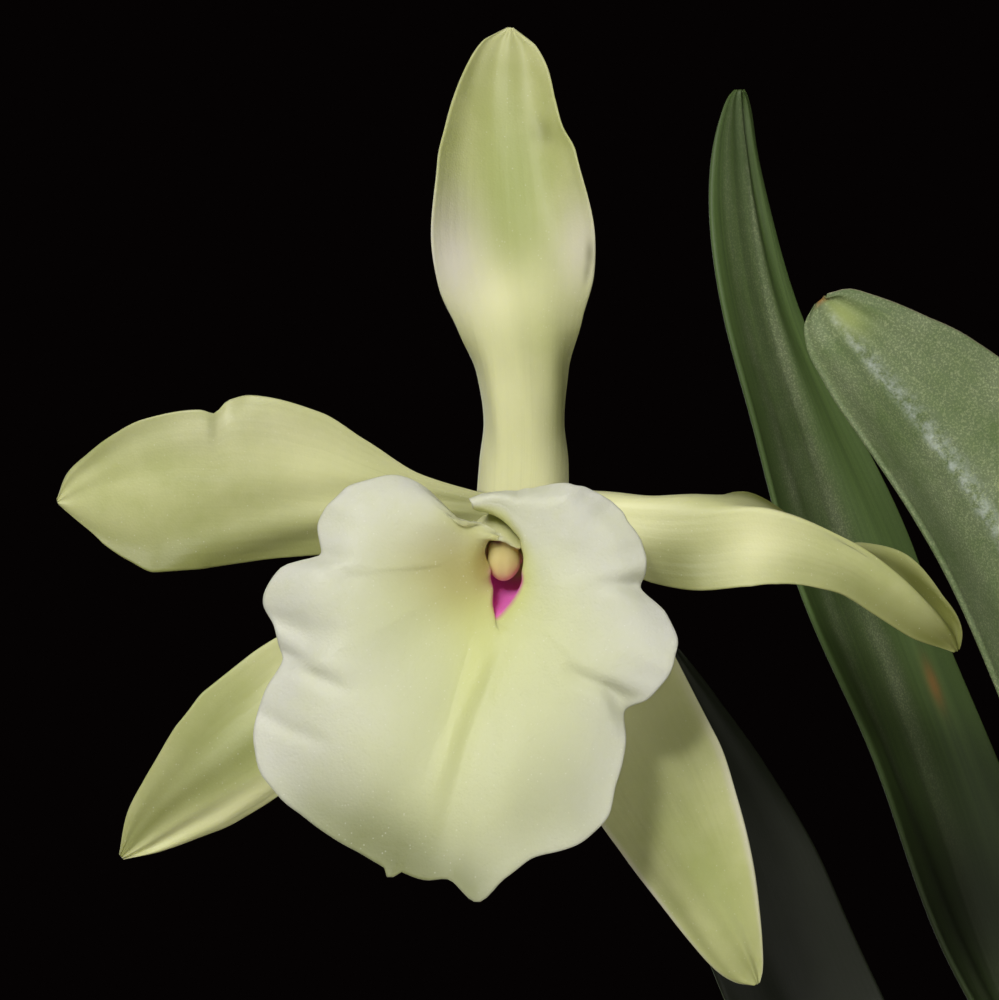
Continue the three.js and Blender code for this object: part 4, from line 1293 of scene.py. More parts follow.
def make_leaves() -> list[Leaf]:
    """The four leaves, one for each stem."""
    common = {"middle": 1.9, "margin": 0.75, "columns": 44}
    front = Leaf(
        name="leaf_front",
        path=[
            (17, -13.2, 170.9), (13.5, -17, 188), (6, -20, 206), (-6.7, -23, 234.5), (-20.2, -25, 258.4),
            (-31, -26, 272), (-37, -26, 279.7),
        ],
        stations=[
            (0, 2.6, 2.6, 62, 62, 40, 40, 0), (0.12, 7, 7, 48, 40, 30, 20, 0),
            (0.32, 13, 13, 42, 16, 46, 6, 0), (0.55, 15, 15.4, 42, 4, 58, -4, 0),
            (0.76, 13.8, 14.6, 44, 0, 66, -6, 0), (0.88, 11, 11.2, 42, 0, 62, -6, 0),
            (0.94, 7.6, 7.8, 34, 0, 46, -4, 0), (0.975, 4.9, 5.1, 16, 0, 20, 0, 0),
            (0.992, 3.2, 3.4, 8, 0, 10, 0, 0), (1, 0.9, 1.1, 4, 0, 4, 0, 0),
        ],
        wave=0.4, bloom=0.8, rib_wax=0.95, edge=0.7, groove=0.3, tip_scorch=0.9,
        patches=areas([("fresh", 0.975, 0.22, 0.024, 0.3, 0.75)]),
        swell=Swell(31, 0.18), **common,
    )
    back = Leaf(
        name="leaf_back",
        path=[
            (-5, 7.4, 166), (-9.5, 9.5, 185), (-16.4, 12, 203), (-24, 13, 225.8), (-31, 12.5, 244.7),
            (-37.6, 12, 264.8), (-42, 12, 280), (-44.6, 12, 297), (-45, 12, 307.6),
        ],
        stations=[
            (0, 2.6, 2.6, 60, 60, 40, 40, 10), (0.14, 7, 7, 44, 44, 30, 30, 30),
            (0.35, 12, 12.4, 24, 24, 14, 14, 48), (0.55, 13.2, 12.6, 18, 18, 8, 8, 50),
            (0.72, 11.4, 8.8, 12, 12, 8, 8, 50), (0.86, 8.6, 5.2, 8, 8, 8, 8, 48),
            (0.95, 4.9, 2.7, 4, 4, 4, 4, 46), (0.98, 3.1, 2, 2, 2, 2, 2, 46),
            (0.994, 1.8, 1.4, 0, 0, 0, 0, 46), (1, 0.7, 0.7, 0, 0, 0, 0, 46),
        ],
        wave=0.5, bloom=0.05, rib_wax=0.0, fold=1.0, groove=0.05, edge=0.0,
        # The dark patches are painted shade, on the lower part and at the tip.
        patches=areas([
            ("bloom", 0.6, 0.1, 0.5, 0.16, 0.7), ("bloom", 0.5, -0.6, 0.5, 0.1, 0.5),
            ("bloom", 0.72, -0.3, 0.2, 0.4, 0.45), ("dark", 0.27, 0.0, 0.17, 3.0, 0.95),
            ("dark", 0.98, 0.0, 0.1, 3.0, 0.35), ("scorch", 0.46, 0.6, 0.018, 0.06, 0.7),
        ]),
        swell=Swell(32, 0.15), **common,
    )
    lower = Leaf(
        name="leaf_lower",
        path=[
            (-24.2, -5.4, 158.6), (-30, -8.6, 175), (-38, -10, 195), (-46, -9, 217), (-51.5, -7, 231),
            (-54, -6, 237.5),
        ],
        stations=[
            (0, 2.4, 2.4, 56, 56, 36, 36, 0), (0.16, 6.4, 6.4, 36, 36, 22, 22, 8),
            (0.42, 11, 9.4, 20, 20, 10, 10, 22), (0.62, 11.4, 8.4, 14, 14, 6, 6, 28),
            (0.8, 9, 6.2, 12, 12, 4, 4, 28), (0.93, 4.8, 3, 10, 10, 4, 4, 28),
            (1, 0.9, 0.9, 6, 6, 2, 2, 28),
        ],
        # painted shade: this leaf lies in the flower's shadow
        wave=0.4, bloom=0.4, rib_wax=0.0, fold=1.0, groove=0.02, painted_shade_strength=1.0, edge=0.0,
        swell=Swell(33, 0.12), **common,
    )
    side = Leaf(
        name="leaf_side",
        path=[(40.4, 12.2, 158), (44.5, 17, 172), (51, 24, 192), (59, 33, 216), (66, 41, 240), (70, 46, 258)],
        stations=[
            (0, 2.5, 2.5, 60, 60, 40, 40, 0), (0.14, 7, 7, 44, 44, 30, 30, -4),
            (0.4, 13, 13, 26, 26, 14, 14, -8), (0.62, 14.4, 14.4, 20, 20, 8, 8, -10),
            (0.82, 11.4, 11.4, 16, 16, 6, 6, -10), (0.94, 6.2, 6.2, 12, 12, 4, 4, -10),
            (1, 1.4, 1.4, 6, 6, 2, 2, -10),
        ],
        wave=0.5, bloom=0.55, rib_wax=0.4, swell=Swell(34, 0.2), **common,
    )
    return [front, back, lower, side]


# Lip


@dataclass
class Glow:
    """Soft oval in the plane of the flower, in millimetres from the receptacle."""

    x: float
    z: float
    reach_x: float
    reach_z: float
    turn: float = 0.0
    strength: float = 1.0

    def at(self, x: Array, z: Array) -> Array:
        """Strength of the oval at each point.

        Args:
            x: coordinate to the right, in millimetres.
            z: coordinate upwards.

        Returns:
            Values from 0 to the oval's strength.
        """
        a = math.radians(self.turn)
        u = (x - self.x) * math.cos(a) + (z - self.z) * math.sin(a)
        v = (z - self.z) * math.cos(a) - (x - self.x) * math.sin(a)
        return self.strength * np.exp(-((u / self.reach_x) ** 2) - (v / self.reach_z) ** 2)


@dataclass
class Crease:
    """Raised or sunk line on the lip, as points in the plane of the flower."""

    points: list[Spot]
    height: float
    width: float

    FADES_FROM = 0.55

    def at(self, x: Array, z: Array) -> Array:
        """Shift towards the viewer at each point.

        Args:
            x: coordinate to the right, in millimetres.
            z: coordinate upwards.

        Returns:
            Shift in millimetres.
        """
        best = np.zeros_like(x)
        total = len(self.points) - 1
        for k, (start, end) in enumerate(zip(self.points, self.points[1:])):
            t, far = beside(x, z, start, end)
            fade = 1 - smooth(self.FADES_FROM, 1.0, (k + t) / total)
            best = np.maximum(best, fade * np.exp(-((far / self.width) ** 2)))
        return self.height * best


@dataclass
class Lip:
    """Lip rolled round the column, opening into a broad, waved limb.

    Angles are about the throat, 0 downwards and 90 to the right. Ring rows are [angle, radius,
    depth]. The left edge tucks in under the right one: TUCKS has the angles where each edge ends
    and where it is free of the other. Rings are numbered outwards, from 0 to LAST_RING.
    """

    LAST_RING = 7.0
    LIMB_LENGTH = 26
    TUCKS = ((-141, -118), (204, 170))

    middle: float = 0.8
    edge: float = 0.32
    columns: int = 320
    steps: tuple[int, ...] = (4, 6, 14, 12, 16, 24, 30)
    centre: Spot = (-2.0, -6.7)
    crinkle: float = 0.7
    ripple: float = 2.4
    waves: tuple[int, ...] = (9, 14, 22, 31)
    seed: int = 7
    recurve: Rows = field(default_factory=lambda: [
        (-141.5, 0), (-100, 0.6), (-75, 2.2), (-50, 5.0), (-25, 4.2), (-5, 2.6), (20, 1.6), (45, 0.6),
        (204, 0.4),
    ])
    margin: Rows = field(default_factory=lambda: [
        (-141.5, 9, -12.6), (-139, 14, -12.6), (-134, 17, -12.6), (-127, 19, -12.8), (-119, 21, -13),
        (-107, 22.1, -13.2), (-98, 21.2, -13.6), (-93, 25.4, -13.4), (-84, 27.6, -13.6), (-78, 26.8, -14.4),
        (-71, 26.8, -15.6), (-65, 30, -16.6), (-57, 34, -18), (-50, 35.6, -19.2), (-40, 35.2, -20.4),
        (-29, 35, -21.6), (-23, 35.2, -22), (-21.2, 36.3, -22), (-19.6, 34.9, -22), (-15, 34.8, -22.2),
        (-11, 34.2, -22.4), (-5, 36.4, -22.6), (0, 33.6, -22), (6, 31.4, -21.2), (16, 30.8, -20.2),
        (23, 29.4, -19.4), (29, 26, -18.4), (37, 22.8, -17.4), (43, 20.1, -16.4), (50, 21, -18.6),
        (60, 21.3, -18), (68, 21.1, -17.4), (78, 18.6, -16.2), (87, 15.5, -15), (96, 16.2, -15.4),
        (108, 15.9, -15), (122, 15.2, -14.6), (140, 13.8, -14), (157, 11.6, -13.8), (175, 10, -13.8),
        (204, 9.9, -13.8),
    ])
    tube: list[tuple[Spot, Rows]] = field(default_factory=lambda: [
        ((0, -1), [(-172, 2.9, -1.2), (0, 2.9, -1.2), (90, 2.9, -1.2), (172, 4, -1.2)]),
        ((-0.8, -2.9), [
            (-192, 3.5, -5), (-150, 3.6, -5), (-90, 3.6, -5), (0, 4.6, -5), (90, 3.8, -5), (150, 4.6, -5),
            (168, 5, -5), (192, 5.6, -5),
        ]),
        ((-1.6, -5.2), [
            (-200, 4.7, -9), (-180, 5.2, -9), (-170, 5.5, -9), (-160, 5.9, -9), (-150, 5.9, -9),
            (-120, 4.4, -9), (-90, 3.6, -9), (-15, 4.7, -9), (20, 4, -9), (90, 3.2, -9), (150, 5, -9),
            (160, 5.7, -9), (175, 6.1, -9), (200, 7, -9),
        ]),
        ((-2, -6.7), [
            (-205, 3.8, -12.4), (-190, 4.4, -12.4), (-165, 5.3, -12.2), (-140, 4.2, -11.8),
            (-110, 2.1, -10.9), (-65, 1.95, -10.6), (-33, 3.3, -11.3), (-26, 4.3, -11.8),
            (-20, 4.95, -12.2), (-12, 4.9, -12.4), (0, 4.1, -12.5), (11, 3.4, -12.6), (38, 2.6, -12.8),
            (63, 2.4, -13), (100, 2.4, -13.2), (147, 4.2, -13.2), (155, 5, -13.3), (168, 5.9, -13.4),
            (182, 7.2, -13.6), (203, 9.1, -13.8),
        ]),
        ((-2, -6.7), [
            (-160, 6.6, -12.6), (-140, 7.2, -13.2), (-110, 6.6, -13.2), (-65, 6.3, -13.2), (-33, 7, -13.8),
            (-15, 8.2, -14.6), (11, 7.2, -15), (63, 5.4, -14.9), (100, 4.7, -14.6), (147, 5.5, -14.4),
            (168, 6.8, -14.4), (182, 8.4, -14.3), (203.5, 9.4, -14.2),
        ]),
    ])
    limb: list[tuple[float, Rows]] = field(default_factory=lambda: [
        (0.36, [
            (-147, -14), (-110, -15), (-65, -15.8), (-33, -16.6), (-19, -16.4), (0, -17.2), (43, -16.8),
            (63, -16.6), (100, -15.8), (147, -15), (203.7, -14.2),
        ]),
        (0.7, [
            (-143, -13.6), (-110, -15), (-65, -17), (-33, -19.2), (-19, -19), (0, -20), (33, -18.2),
            (48, -18.4), (63, -17.8), (100, -16.2), (147, -15), (203.9, -14.1),
        ]),
    ])
    glows: dict[str, Rows] = field(default_factory=lambda: {
        # painted shade on the lower limb, which turns away from the light, darkest at the lower left
        "shade": [
            (-14, -38.5, 10.5, 5.8, -28, 0.95), (-24, -34, 6, 4, -40, 0.35), (-3, -43, 8, 4, 0, 0.3),
            (4.5, -33, 7, 7, 0, 0.22),
        ],
        "flush": [
            (-6, -20, 15, 17, 20, 0.95), (-11, -8, 9, 7, 0, 0.6), (3, -14, 8, 9, 0, 0.5),
            (-10, -34, 14, 10, 0, 0.6),
        ],
        "throat": [
            (-3.5, -13, 5.5, 8, -14, 0.7), (-6.8, -22, 2.0, 11, -14, 0.55), (-7, -9, 4, 4, 0, 0.5),
            (-6.6, -0.6, 3.0, 1.3, -30, 0.7),
        ],
        # olive of the throat and painted shade on the funnel's left wall
        "funnel": [
            (-6.5, -6, 4.4, 5.5, 0, 0.6), (-11, -5, 5, 5, 0, 0.3), (-4.9, -5, 1.0, 2.4, 0, 0.5),
        ],
    })
    creases: list[Crease] = field(default_factory=lambda: [
        Crease([(-2.4, -11.5), (-6.0, -19.0), (-8.3, -25.5), (-10.2, -32.0), (-10.8, -40.5)], 0.4, 1.1),
        Crease([(-0.9, -12.0), (-4.2, -19.5), (-6.4, -26.0), (-8.2, -33.0), (-8.9, -40.0)], -0.32, 0.9),
        Crease([(-28.5, -14.2), (-23.5, -17.6), (-18.5, -19.8)], -0.7, 0.8),
        Crease([(-28.5, -12.4), (-23.3, -15.8), (-17.5, -18.2)], 0.5, 1.1),
        Crease([(-30.0, -21.6), (-26.2, -23.8), (-20.5, -25.5)], -0.5, 0.9),
        Crease([(-24.0, -3.3), (-20.0, -6.3), (-16.0, -7.0)], -0.4, 1.2),
        Crease([(-30.0, -11.0), (-24.0, -12.6), (-18.0, -12.4)], -0.3, 1.1),
        Crease([(15.5, -20.8), (8.8, -18.6), (3.8, -16.3)], -0.8, 1.0),
        Crease([(14.5, -7.0), (10.8, -7.2), (6.5, -7.6)], -0.45, 0.9),
        Crease([(5.2, 3.6), (5.8, -1.0), (5.0, -4.0)], 0.25, 2.0),
    ])

    def ring(self, k: int, angle: Array) -> Array:
        """Points of one ring at angles in degrees, from the receptacle.

        Args:
            k: number of the ring.
            angle: angles in degrees.

        Returns:
            Points in millimetres.
        """
        if k < len(self.tube):
            (cx, cz), rows = self.tube[k]
            radius, depth = station(rows, 1, angle), station(rows, 2, angle)
        else:
            cx, cz = self.centre
            inner = station(self.tube[-1][1], 1, angle)
            outer = station(self.margin, 1, angle)
            last = k == len(self.tube) + len(self.limb)
            share = 1.0 if last else self.limb[k - len(self.tube)][0]
            rows, column = (self.margin, 2) if last else (self.limb[k - len(self.tube)][1], 1)
            radius, depth = inner + (outer - inner) * share, station(rows, column, angle)
        a = np.radians(angle)
        return np.stack([cx + radius * np.sin(a), depth, cz - radius * np.cos(a)], axis=-1)

    def spans(self) -> list[Spot]:
        """First and last angle of each ring."""
        tables = [rows for _, rows in self.tube] + [rows for _, rows in self.limb] + [self.margin]
        return [(rows[0][0], rows[-1][0]) for rows in tables]

    def surface(self) -> tuple[Array, Array, Array, Array]:
        """Points by row and column, ring number of each row, column places and margin angles."""
        place = np.linspace(0, 1, self.columns + 1)
        spans = self.spans()
        lines = np.stack([self.ring(k, a + (b - a) * place) for k, (a, b) in enumerate(spans)], axis=1)
        rings = len(spans)
        t = [k + np.arange(n) / n for k, n in enumerate(self.steps)]
        level = np.concatenate([*t, [rings - 1.0]])
        points = through(lines, level / (rings - 1)).transpose(1, 0, 2)
        angle = spans[-1][0] + (spans[-1][1] - spans[-1][0]) * place
        return points, level, place, angle

    def shaped(self) -> tuple[Array, Array, Array]:
        """Surface with its creases, waves and crinkled margin, and its levels and angles."""
        points, level, place, angle = self.surface()
        rows, turn = np.broadcast_arrays(level[:, None], angle[None, :])
        limb = smooth(3.6, 4.6, rows)
        edge = smooth(5.4, self.LAST_RING, rows)
        x, z = points[..., 0], points[..., 2]
        forward = sum(c.at(x, z) for c in self.creases) * limb
        random = np.random.default_rng(self.seed)
        ripple = np.zeros_like(turn)
        outline = np.zeros_like(turn)
        for waves in self.waves:
            ripple = ripple + np.sin(np.radians(turn) * waves + random.uniform(0, 6.28)) / waves
            outline = outline + np.sin(np.radians(turn) * waves * 1.7 + random.uniform(0, 6.28)) / waves
        forward = forward + self.ripple * ripple * edge
        forward = forward + Swell(8, 0.2, (2.5, 3.0)).at(place[None, :], rows / self.LAST_RING) * limb
        forward = forward - station(self.recurve, 1, turn) * smooth(4.7, self.LAST_RING, rows) ** 1.5
        cx, cz = self.centre
        outward = np.stack([x - cx, np.zeros_like(x), z - cz], axis=-1)
        outward = outward / np.maximum(np.linalg.norm(outward, axis=-1, keepdims=True), 1e-6)
        (left_end, left_free), (right_end, right_free) = self.TUCKS
        tucked = smooth(left_end, left_free, turn) * smooth(right_end, right_free, turn)
        shaped = points + outward * (self.crinkle * outline * edge**3 * tucked)[..., None]
        shaped[..., 1] -= forward * tucked
        return shaped, rows, turn

    def marks(self, points: Array, rows: Array, turn: Array) -> FaceMarks:
        """Tints of the inner face, painted shade among them. The outer face has half of each but the purple.

        Args:
            points: points from the receptacle.
            rows: ring number.
            turn: angle at the margin.

        Returns:
            Values from 0 to 1 by mark.
        """
        x, z = points[..., 0], points[..., 2]
        none = np.zeros_like(x)
        inside = {}
        for name, rows_of_glow in self.glows.items():
            inside[name] = np.clip(sum(Glow(*row).at(x, z) for row in rows_of_glow), 0, 1)
        deep = smooth(4.2, 3.0, rows)
        inside["throat"] = np.maximum(inside["throat"], deep)
        # painted shade deep in the tube, towards its left side
        inside["funnel"] = np.maximum(inside["funnel"], 0.6 * deep * smooth(20, -60, turn))
        sector = smooth(-80, -62, turn) * smooth(135, 115, turn) * smooth(-5.2, -6.2, z)
        purple = smooth(3.02, 2.9, rows) * smooth(0.6, 1.2, rows) * sector
        halo = smooth(3.14, 3.02, rows) * smooth(0.6, 1.2, rows) * sector
        found = {name: (0.5 * value, value) for name, value in inside.items()}
        # painted shadow of the right sheet's curl on the tube's roof, on the outer face
        roof = Glow(-4.2, 0.6, 4.0, 2.2).at(x, z) * smooth(-120, -135, turn) * smooth(4.2, 3.6, rows)
        found["shade"] = (np.maximum(found["shade"][0], 0.6 * roof), found["shade"][1])
        found["purple"] = (none, purple)
        found["purple_edge"] = (none, 0.7 * halo)
        return found

    def build(self) -> Item:
        """The closed lip."""
        points, rows, turn = self.shaped()
        share = smooth(3.5, self.LAST_RING, rows)
        body = self.middle + (self.edge - self.middle) * share
        body = body * (0.45 + 0.55 * smooth(-138, -118, turn))
        inward = (self.LAST_RING - rows) / self.LAST_RING * self.LIMB_LENGTH
        body = body * np.maximum(np.sqrt(1 - (1 - np.clip(inward / 0.5, 0, 1)) ** 2), 0.2)
        uv = np.stack([(turn + 205) / 410, rows / self.LAST_RING], axis=-1)
        marks = self.marks(points, rows, turn)
        return sheet_object("lip", points + RECEPTACLE, body / 2, body / 2, uv, marks)

    def dress(self, piece: Item) -> None:
        """Lip tissue."""
        place_piece(piece, LipTissue(), Slot.LIP, "lip")


# Heart of the flower, stalk and sheath


@dataclass
class Egg:
    """A rounded body about a centre, leant forward, broader below and grooved down its front."""

    name: str
    centre: Place
    radii: Place
    lean: float = 0.0
    groove: float = 0.0
    broader: float = 0.0
    lumps: float = 0.0
    rings: int = 40
    sides: int = 56

    def build(self) -> Item:
        """The closed body."""
        polar = np.linspace(np.pi, 0, self.rings + 1)[1:-1, None]
        turn = np.linspace(0, 2 * np.pi, self.sides, endpoint=False)[None, :]
        x, y, z = np.sin(polar) * np.cos(turn), np.sin(polar) * np.sin(turn), np.cos(polar) + 0 * turn
        y = y + self.groove * np.exp(-((x / 0.16) ** 2)) * smooth(0.0, -0.6, y) * smooth(0.6, 0.0, z)
        wide = 1 + self.broader * smooth(0.4, -0.6, z)
        wide = wide + Swell(6, self.lumps, (1.0, 1.0)).at(np.sin(turn), z)
        unturned = np.stack([x * wide, y * wide, z], axis=-1) * self.radii
        ends = np.array([(0, 0, -1.0), (0, 0, 1.0)]) * self.radii
        a = math.radians(self.lean)
        turning = np.array([(1, 0, 0), (0, math.cos(a), -math.sin(a)), (0, math.sin(a), math.cos(a))])
        middle = RECEPTACLE + np.array(self.centre)
        height = unturned[..., 2] / self.radii[2]
        marks = {"stain": smooth(0.6, 0.8, height) * smooth(0.1, -0.3, x)}
        return ring_object(self.name, unturned @ turning.T + middle, ends @ turning.T + middle, marks)


@dataclass
class Column:
    """The column inside the lip's tube, and the cap over its pollen."""

    path: list = field(default_factory=lambda: [
        (0, -0.2, -0.1), (-0.5, -3.2, -1.5), (-1.4, -6.4, -3.2), (-1.95, -8.3, -4.4),
    ])
    cap: Egg = field(default_factory=lambda: Egg(
        "anther_cap", (-2.15, -9.9, -4.3), (1.85, 1.2, 2.75), 18.0, 0.06, 0.08, 0.03,
    ))

    def build(self) -> list[Item]:
        """The column and the cap."""
        sections = [
            (0, 1, 1), (0.06, 1.5, 1.4), (0.5, 1.7, 1.5), (0.85, 2, 1.6), (0.97, 1.9, 1.6), (1, 1.3, 1.2),
        ]
        path = [tuple(RECEPTACLE + np.array(p)) for p in self.path]
        column = Loft(path, sections, np.array([1.0, 0, 0]), 40, 50, self.ridged).build("column")
        return [column, self.cap.build()]

    @staticmethod
    def ridged(angle: Array, along: Array) -> Array:
        """Three low ridges along the column."""
        return 0.1 * np.cos(3 * angle) * smooth(0, 0.4, along)

    def dress(self, parts: list[Item]) -> None:
        """Pale green column, ochre cap."""
        place_piece(parts[0], FleshyWax(), Slot.COLUMN, "column")
        cap = FleshyWax("Cap", "#f0e4a4", "#e0d08a", "#7c2c4a", 0.4)
        place_piece(parts[1], cap, Slot.ANTHER, "anther_cap")


@dataclass
class Stalk:
    """Flower stalk with its six-ribbed ovary, and the flat sheath that it grows out of."""

    path: list = field(default_factory=lambda: [
        (-24, -0.3, 159.2), (-30, 0.8, 175), (-43, 2, 203), (-56, 0, 229), (-66.5, -10, 246),
        (-71.4, -24, 252.6), (-72.4, -33, 253.6), (-72.4, -37.4, 253.7),
    ])
    sheath_path: list = field(default_factory=lambda: [
        (-24, 3.2, 158.8), (-27, 4.2, 167), (-31.2, 5, 177), (-36.6, 5.4, 189), (-41, 5.6, 198),
    ])

    def build(self) -> tuple[Item, Item]:
        """The stalk and the sheath."""
        sections = [
            (0, 1.2, 1.2), (0.03, 2, 2), (0.5, 1.9, 1.9), (0.7, 2.3, 2.3), (0.86, 2.6, 2.6),
            (0.95, 2.1, 2.1), (0.985, 2.2, 2.2), (1, 1.9, 1.9),
        ]
        stalk = Loft(self.path, sections, np.array([0, 1.0, 0]), 48, 200, self.ribbed)
        sheath = Blade(
            name="flower_sheath",
            path=self.sheath_path,
            stations=even([
                (0, 9.2, 9.2, 150), (0.3, 10.2, 10.2, 150), (0.6, 10.2, 10.2, 146), (0.8, 7.4, 7.4, 120),
                (0.93, 3.6, 3.6, 60), (1, 0.6, 0.6, 10),
            ]),
            middle=0.55, margin=0.4, veins=17, vein_height=0.05, rows=80,
        )
        return stalk.build("flower_stalk"), sheath.build()

    @staticmethod
    def ribbed(angle: Array, along: Array) -> Array:
        """The ovary's six ribs."""
        return 0.16 * np.cos(6 * angle) * smooth(0.5, 0.75, along) * smooth(1.0, 0.95, along)

    def dress(self, stalk: Item, sheath: Item) -> None:
        """Fresh stalk, papery sheath."""
        fresh = StemSkin("Stalk", "#9cab62", "#b0b877", "#c4c48c", 0.45, 0.8, 0.25)
        place_piece(stalk, fresh, Slot.STALK, "flower_stalk")
        place_piece(sheath, PaperySheath(), Slot.SHEATH, "flower_sheath")


# Stems


@dataclass
class Pseudobulb:
    """A swollen stem on its slender foot, furrowed, in the papery bracts that it grew out of."""

    name: str
    foot: Spot
    top: Place
    width: float
    depth: float
    seed: int
    furrows: int = 11
    furrow_depth: float = 0.22
    sides: int = 72
    steps: int = 120
    bract_rows: int = 46
    bract_columns: int = 90
    bract_half: float = 0.14
    split: float = 14.0

    def loft(self, extra: float = 0.0, relief: Callable | None = None) -> Loft:
        """The stem's form, with an extra radius.

        Args:
            extra: what is added to each half width.
            relief: outward offset, or none.

        Returns:
            The form, ready to build.
        """
        (fx, fy), (tx, ty, tz) = self.foot, self.top
        middle = (fx + 0.45 * (tx - fx), fy + 0.4 * (ty - fy), (STEM_FOOT + tz) / 2)
        w, d = self.width, self.depth
        sections = [
            (0, 1.6, 1.6), (0.03, 2.9, 2.7), (0.14, 3.6, 3.1), (0.16, 3.2, 2.8), (0.36, 0.82 * w, 0.85 * d),
            (0.6, w, d), (0.8, 0.86 * w, 0.9 * d), (0.93, 0.6 * w, 0.74 * d), (0.985, 0.46 * w, 0.6 * d),
            (1, 0.3 * w, 0.4 * d),
        ]
        grown = [(s, a + extra, b + extra) for s, a, b in sections]
        path = [(fx, fy, STEM_FOOT), middle, (tx, ty, tz)]
        return Loft(path, grown, np.array([1.0, 0, 0]), self.sides, self.steps, relief)

    def furrowed(self, angle: Array, along: Array) -> Array:
        """Shallow lengthwise furrows, uneven from side to side.

        Args:
            angle: angle about the stem.
            along: place along it.

        Returns:
            Outward offset in millimetres.
        """
        uneven = 0.5 + 0.5 * np.sin(2 * angle + self.seed)
        lines = np.cos(self.furrows * angle + 0.6 * np.sin(3 * angle + self.seed))
        ends = smooth(0.2, 0.4, along) * smooth(1, 0.9, along)
        return -self.furrow_depth * (0.5 + 0.5 * lines) * (0.4 + 0.6 * uneven) * ends

    def bract(self, number: int, low: float, high: float, opening: float) -> Item:
        """A papery bract round the stem, split down one side.

        Args:
            number: which bract, counted upwards.
            low: place along the stem where it starts.
            high: place where it ends on its longest side.
            opening: angle in degrees that its split looks towards.

        Returns:
            The bract.
        """
        random = np.random.default_rng(self.seed + number)
        rings, _, _ = self.loft(0.32 + 0.3 * number).rings()
        steps, sides = rings.shape[:2]
        centre = rings.mean(axis=1)
        rows, columns = self.bract_rows, self.bract_columns
        sweep = np.linspace(math.radians(self.split), math.radians(360 - self.split), columns + 1)
        turn = np.radians(opening) + sweep
        slant = 0.72 + 0.28 * np.sin((turn - turn[0]) / 2) ** 0.8
        coarse = 0.02 * np.sin(turn * 9 + random.uniform(0, 6))
        fine = 0.012 * np.sin(turn * 23 + random.uniform(0, 6))
        torn = 1 + coarse + fine
        top = low + (high - low) * slant * torn
        level = np.linspace(0, 1, rows + 1)[:, None]
        along = low + (top[None, :] - low) * level
        ring = np.clip(along * (steps - 1), 0, steps - 1.001)
        column = (turn[None, :] % (2 * np.pi)) / (2 * np.pi) * sides + 0 * along
        i, j = ring.astype(int), column.astype(int) % sides
        u, v = (ring - i)[..., None], (column - column.astype(int))[..., None]
        ahead = (j + 1) % sides
        lower = rings[i, j] * (1 - v) + rings[i, ahead] * v
        upper = rings[i + 1, j] * (1 - v) + rings[i + 1, ahead] * v
        points = lower * (1 - u) + upper * u
        axis = centre[i] * (1 - u) + centre[i + 1] * u
        lobes = (1 + 0.5 * np.sin(turn * 5 + random.uniform(0, 6)))[None, :]
        flare = 0.5 * smooth(0.75, 1.0, level) ** 2 * lobes
        points = points + unit(points - axis) * flare[..., None]
        nerves = 0.04 * np.cos(turn * 26)[None, :] + 0 * along
        half = np.full(along.shape, self.bract_half)
        uv = np.stack(np.broadcast_arrays(np.linspace(0, 1, columns + 1)[None, :], level), axis=-1)
        name = f"{self.name}_bract_{number + 1}"
        return sheet_object(name, points, half + nerves, half - nerves, uv, {})

    def build(self) -> list[Item]:
        """The stem and its bracts."""
        stem = self.loft(relief=self.furrowed).build(self.name)
        lower = self.bract(0, 0.17, 0.62, 250 + 20 * math.sin(self.seed))
        foot = self.bract(1, 0.02, 0.3, 80 + 30 * math.sin(self.seed * 2))
        return [stem, lower, foot]

    def dress(self, parts: list[Item]) -> None:
        """Living stem, papery bracts."""
        place_piece(parts[0], StemSkin(), Slot.PSEUDOBULB, self.name)
        for bract in parts[1:]:
            place_piece(bract, PaperySheath(), Slot.PSEUDOBULB)


@dataclass
class Rhizome:
    """The creeping stem on the bark, ringed by the scars of its bracts."""

    scars: int = 15

    def scarred(self, angle: Array, along: Array) -> Array:
        """Rings, and a little unevenness round the stem."""
        ring = np.abs(np.sin(np.pi * self.scars * along)) ** 8
        fibres = 0.05 * np.cos(14 * angle + 9 * along)
        return 0.16 * ring + fibres - 0.12

    def build(self) -> Item:
        """The rhizome."""
        sections = [(0, 1.2, 1.2), (0.06, 2.6, 2.6)]
        for i in range(9):
            radius = RHIZOME_RADIUS - (i % 2) * 0.45
            sections.append((0.12 + 0.1 * i, radius, radius))
        sections.append((1, 1.8, 1.8))
        path = [(x, y, RHIZOME_HEIGHT) for x, y in RHIZOME_LINE]
        return Loft(path, sections, np.array([0, 1.0, 0]), 48, 260, self.scarred).build("rhizome")

    def dress(self, piece: Item) -> None:
        """Brown-green, dry skin."""
        skin = StemSkin("Rhizome", "#6f6a3f", "#85744a", "#a08c62", 0.75, 0.8, 0.7)
        place_piece(piece, skin, Slot.RHIZOME, "rhizome")


# Geometry Nodes


def geo(tree: Tree, kind: str, *first: object, **values: object) -> Node:
    """Adds a geometry node. Its name is given without its prefix."""
    return add(tree, f"GeometryNode{kind}", *first, **values)


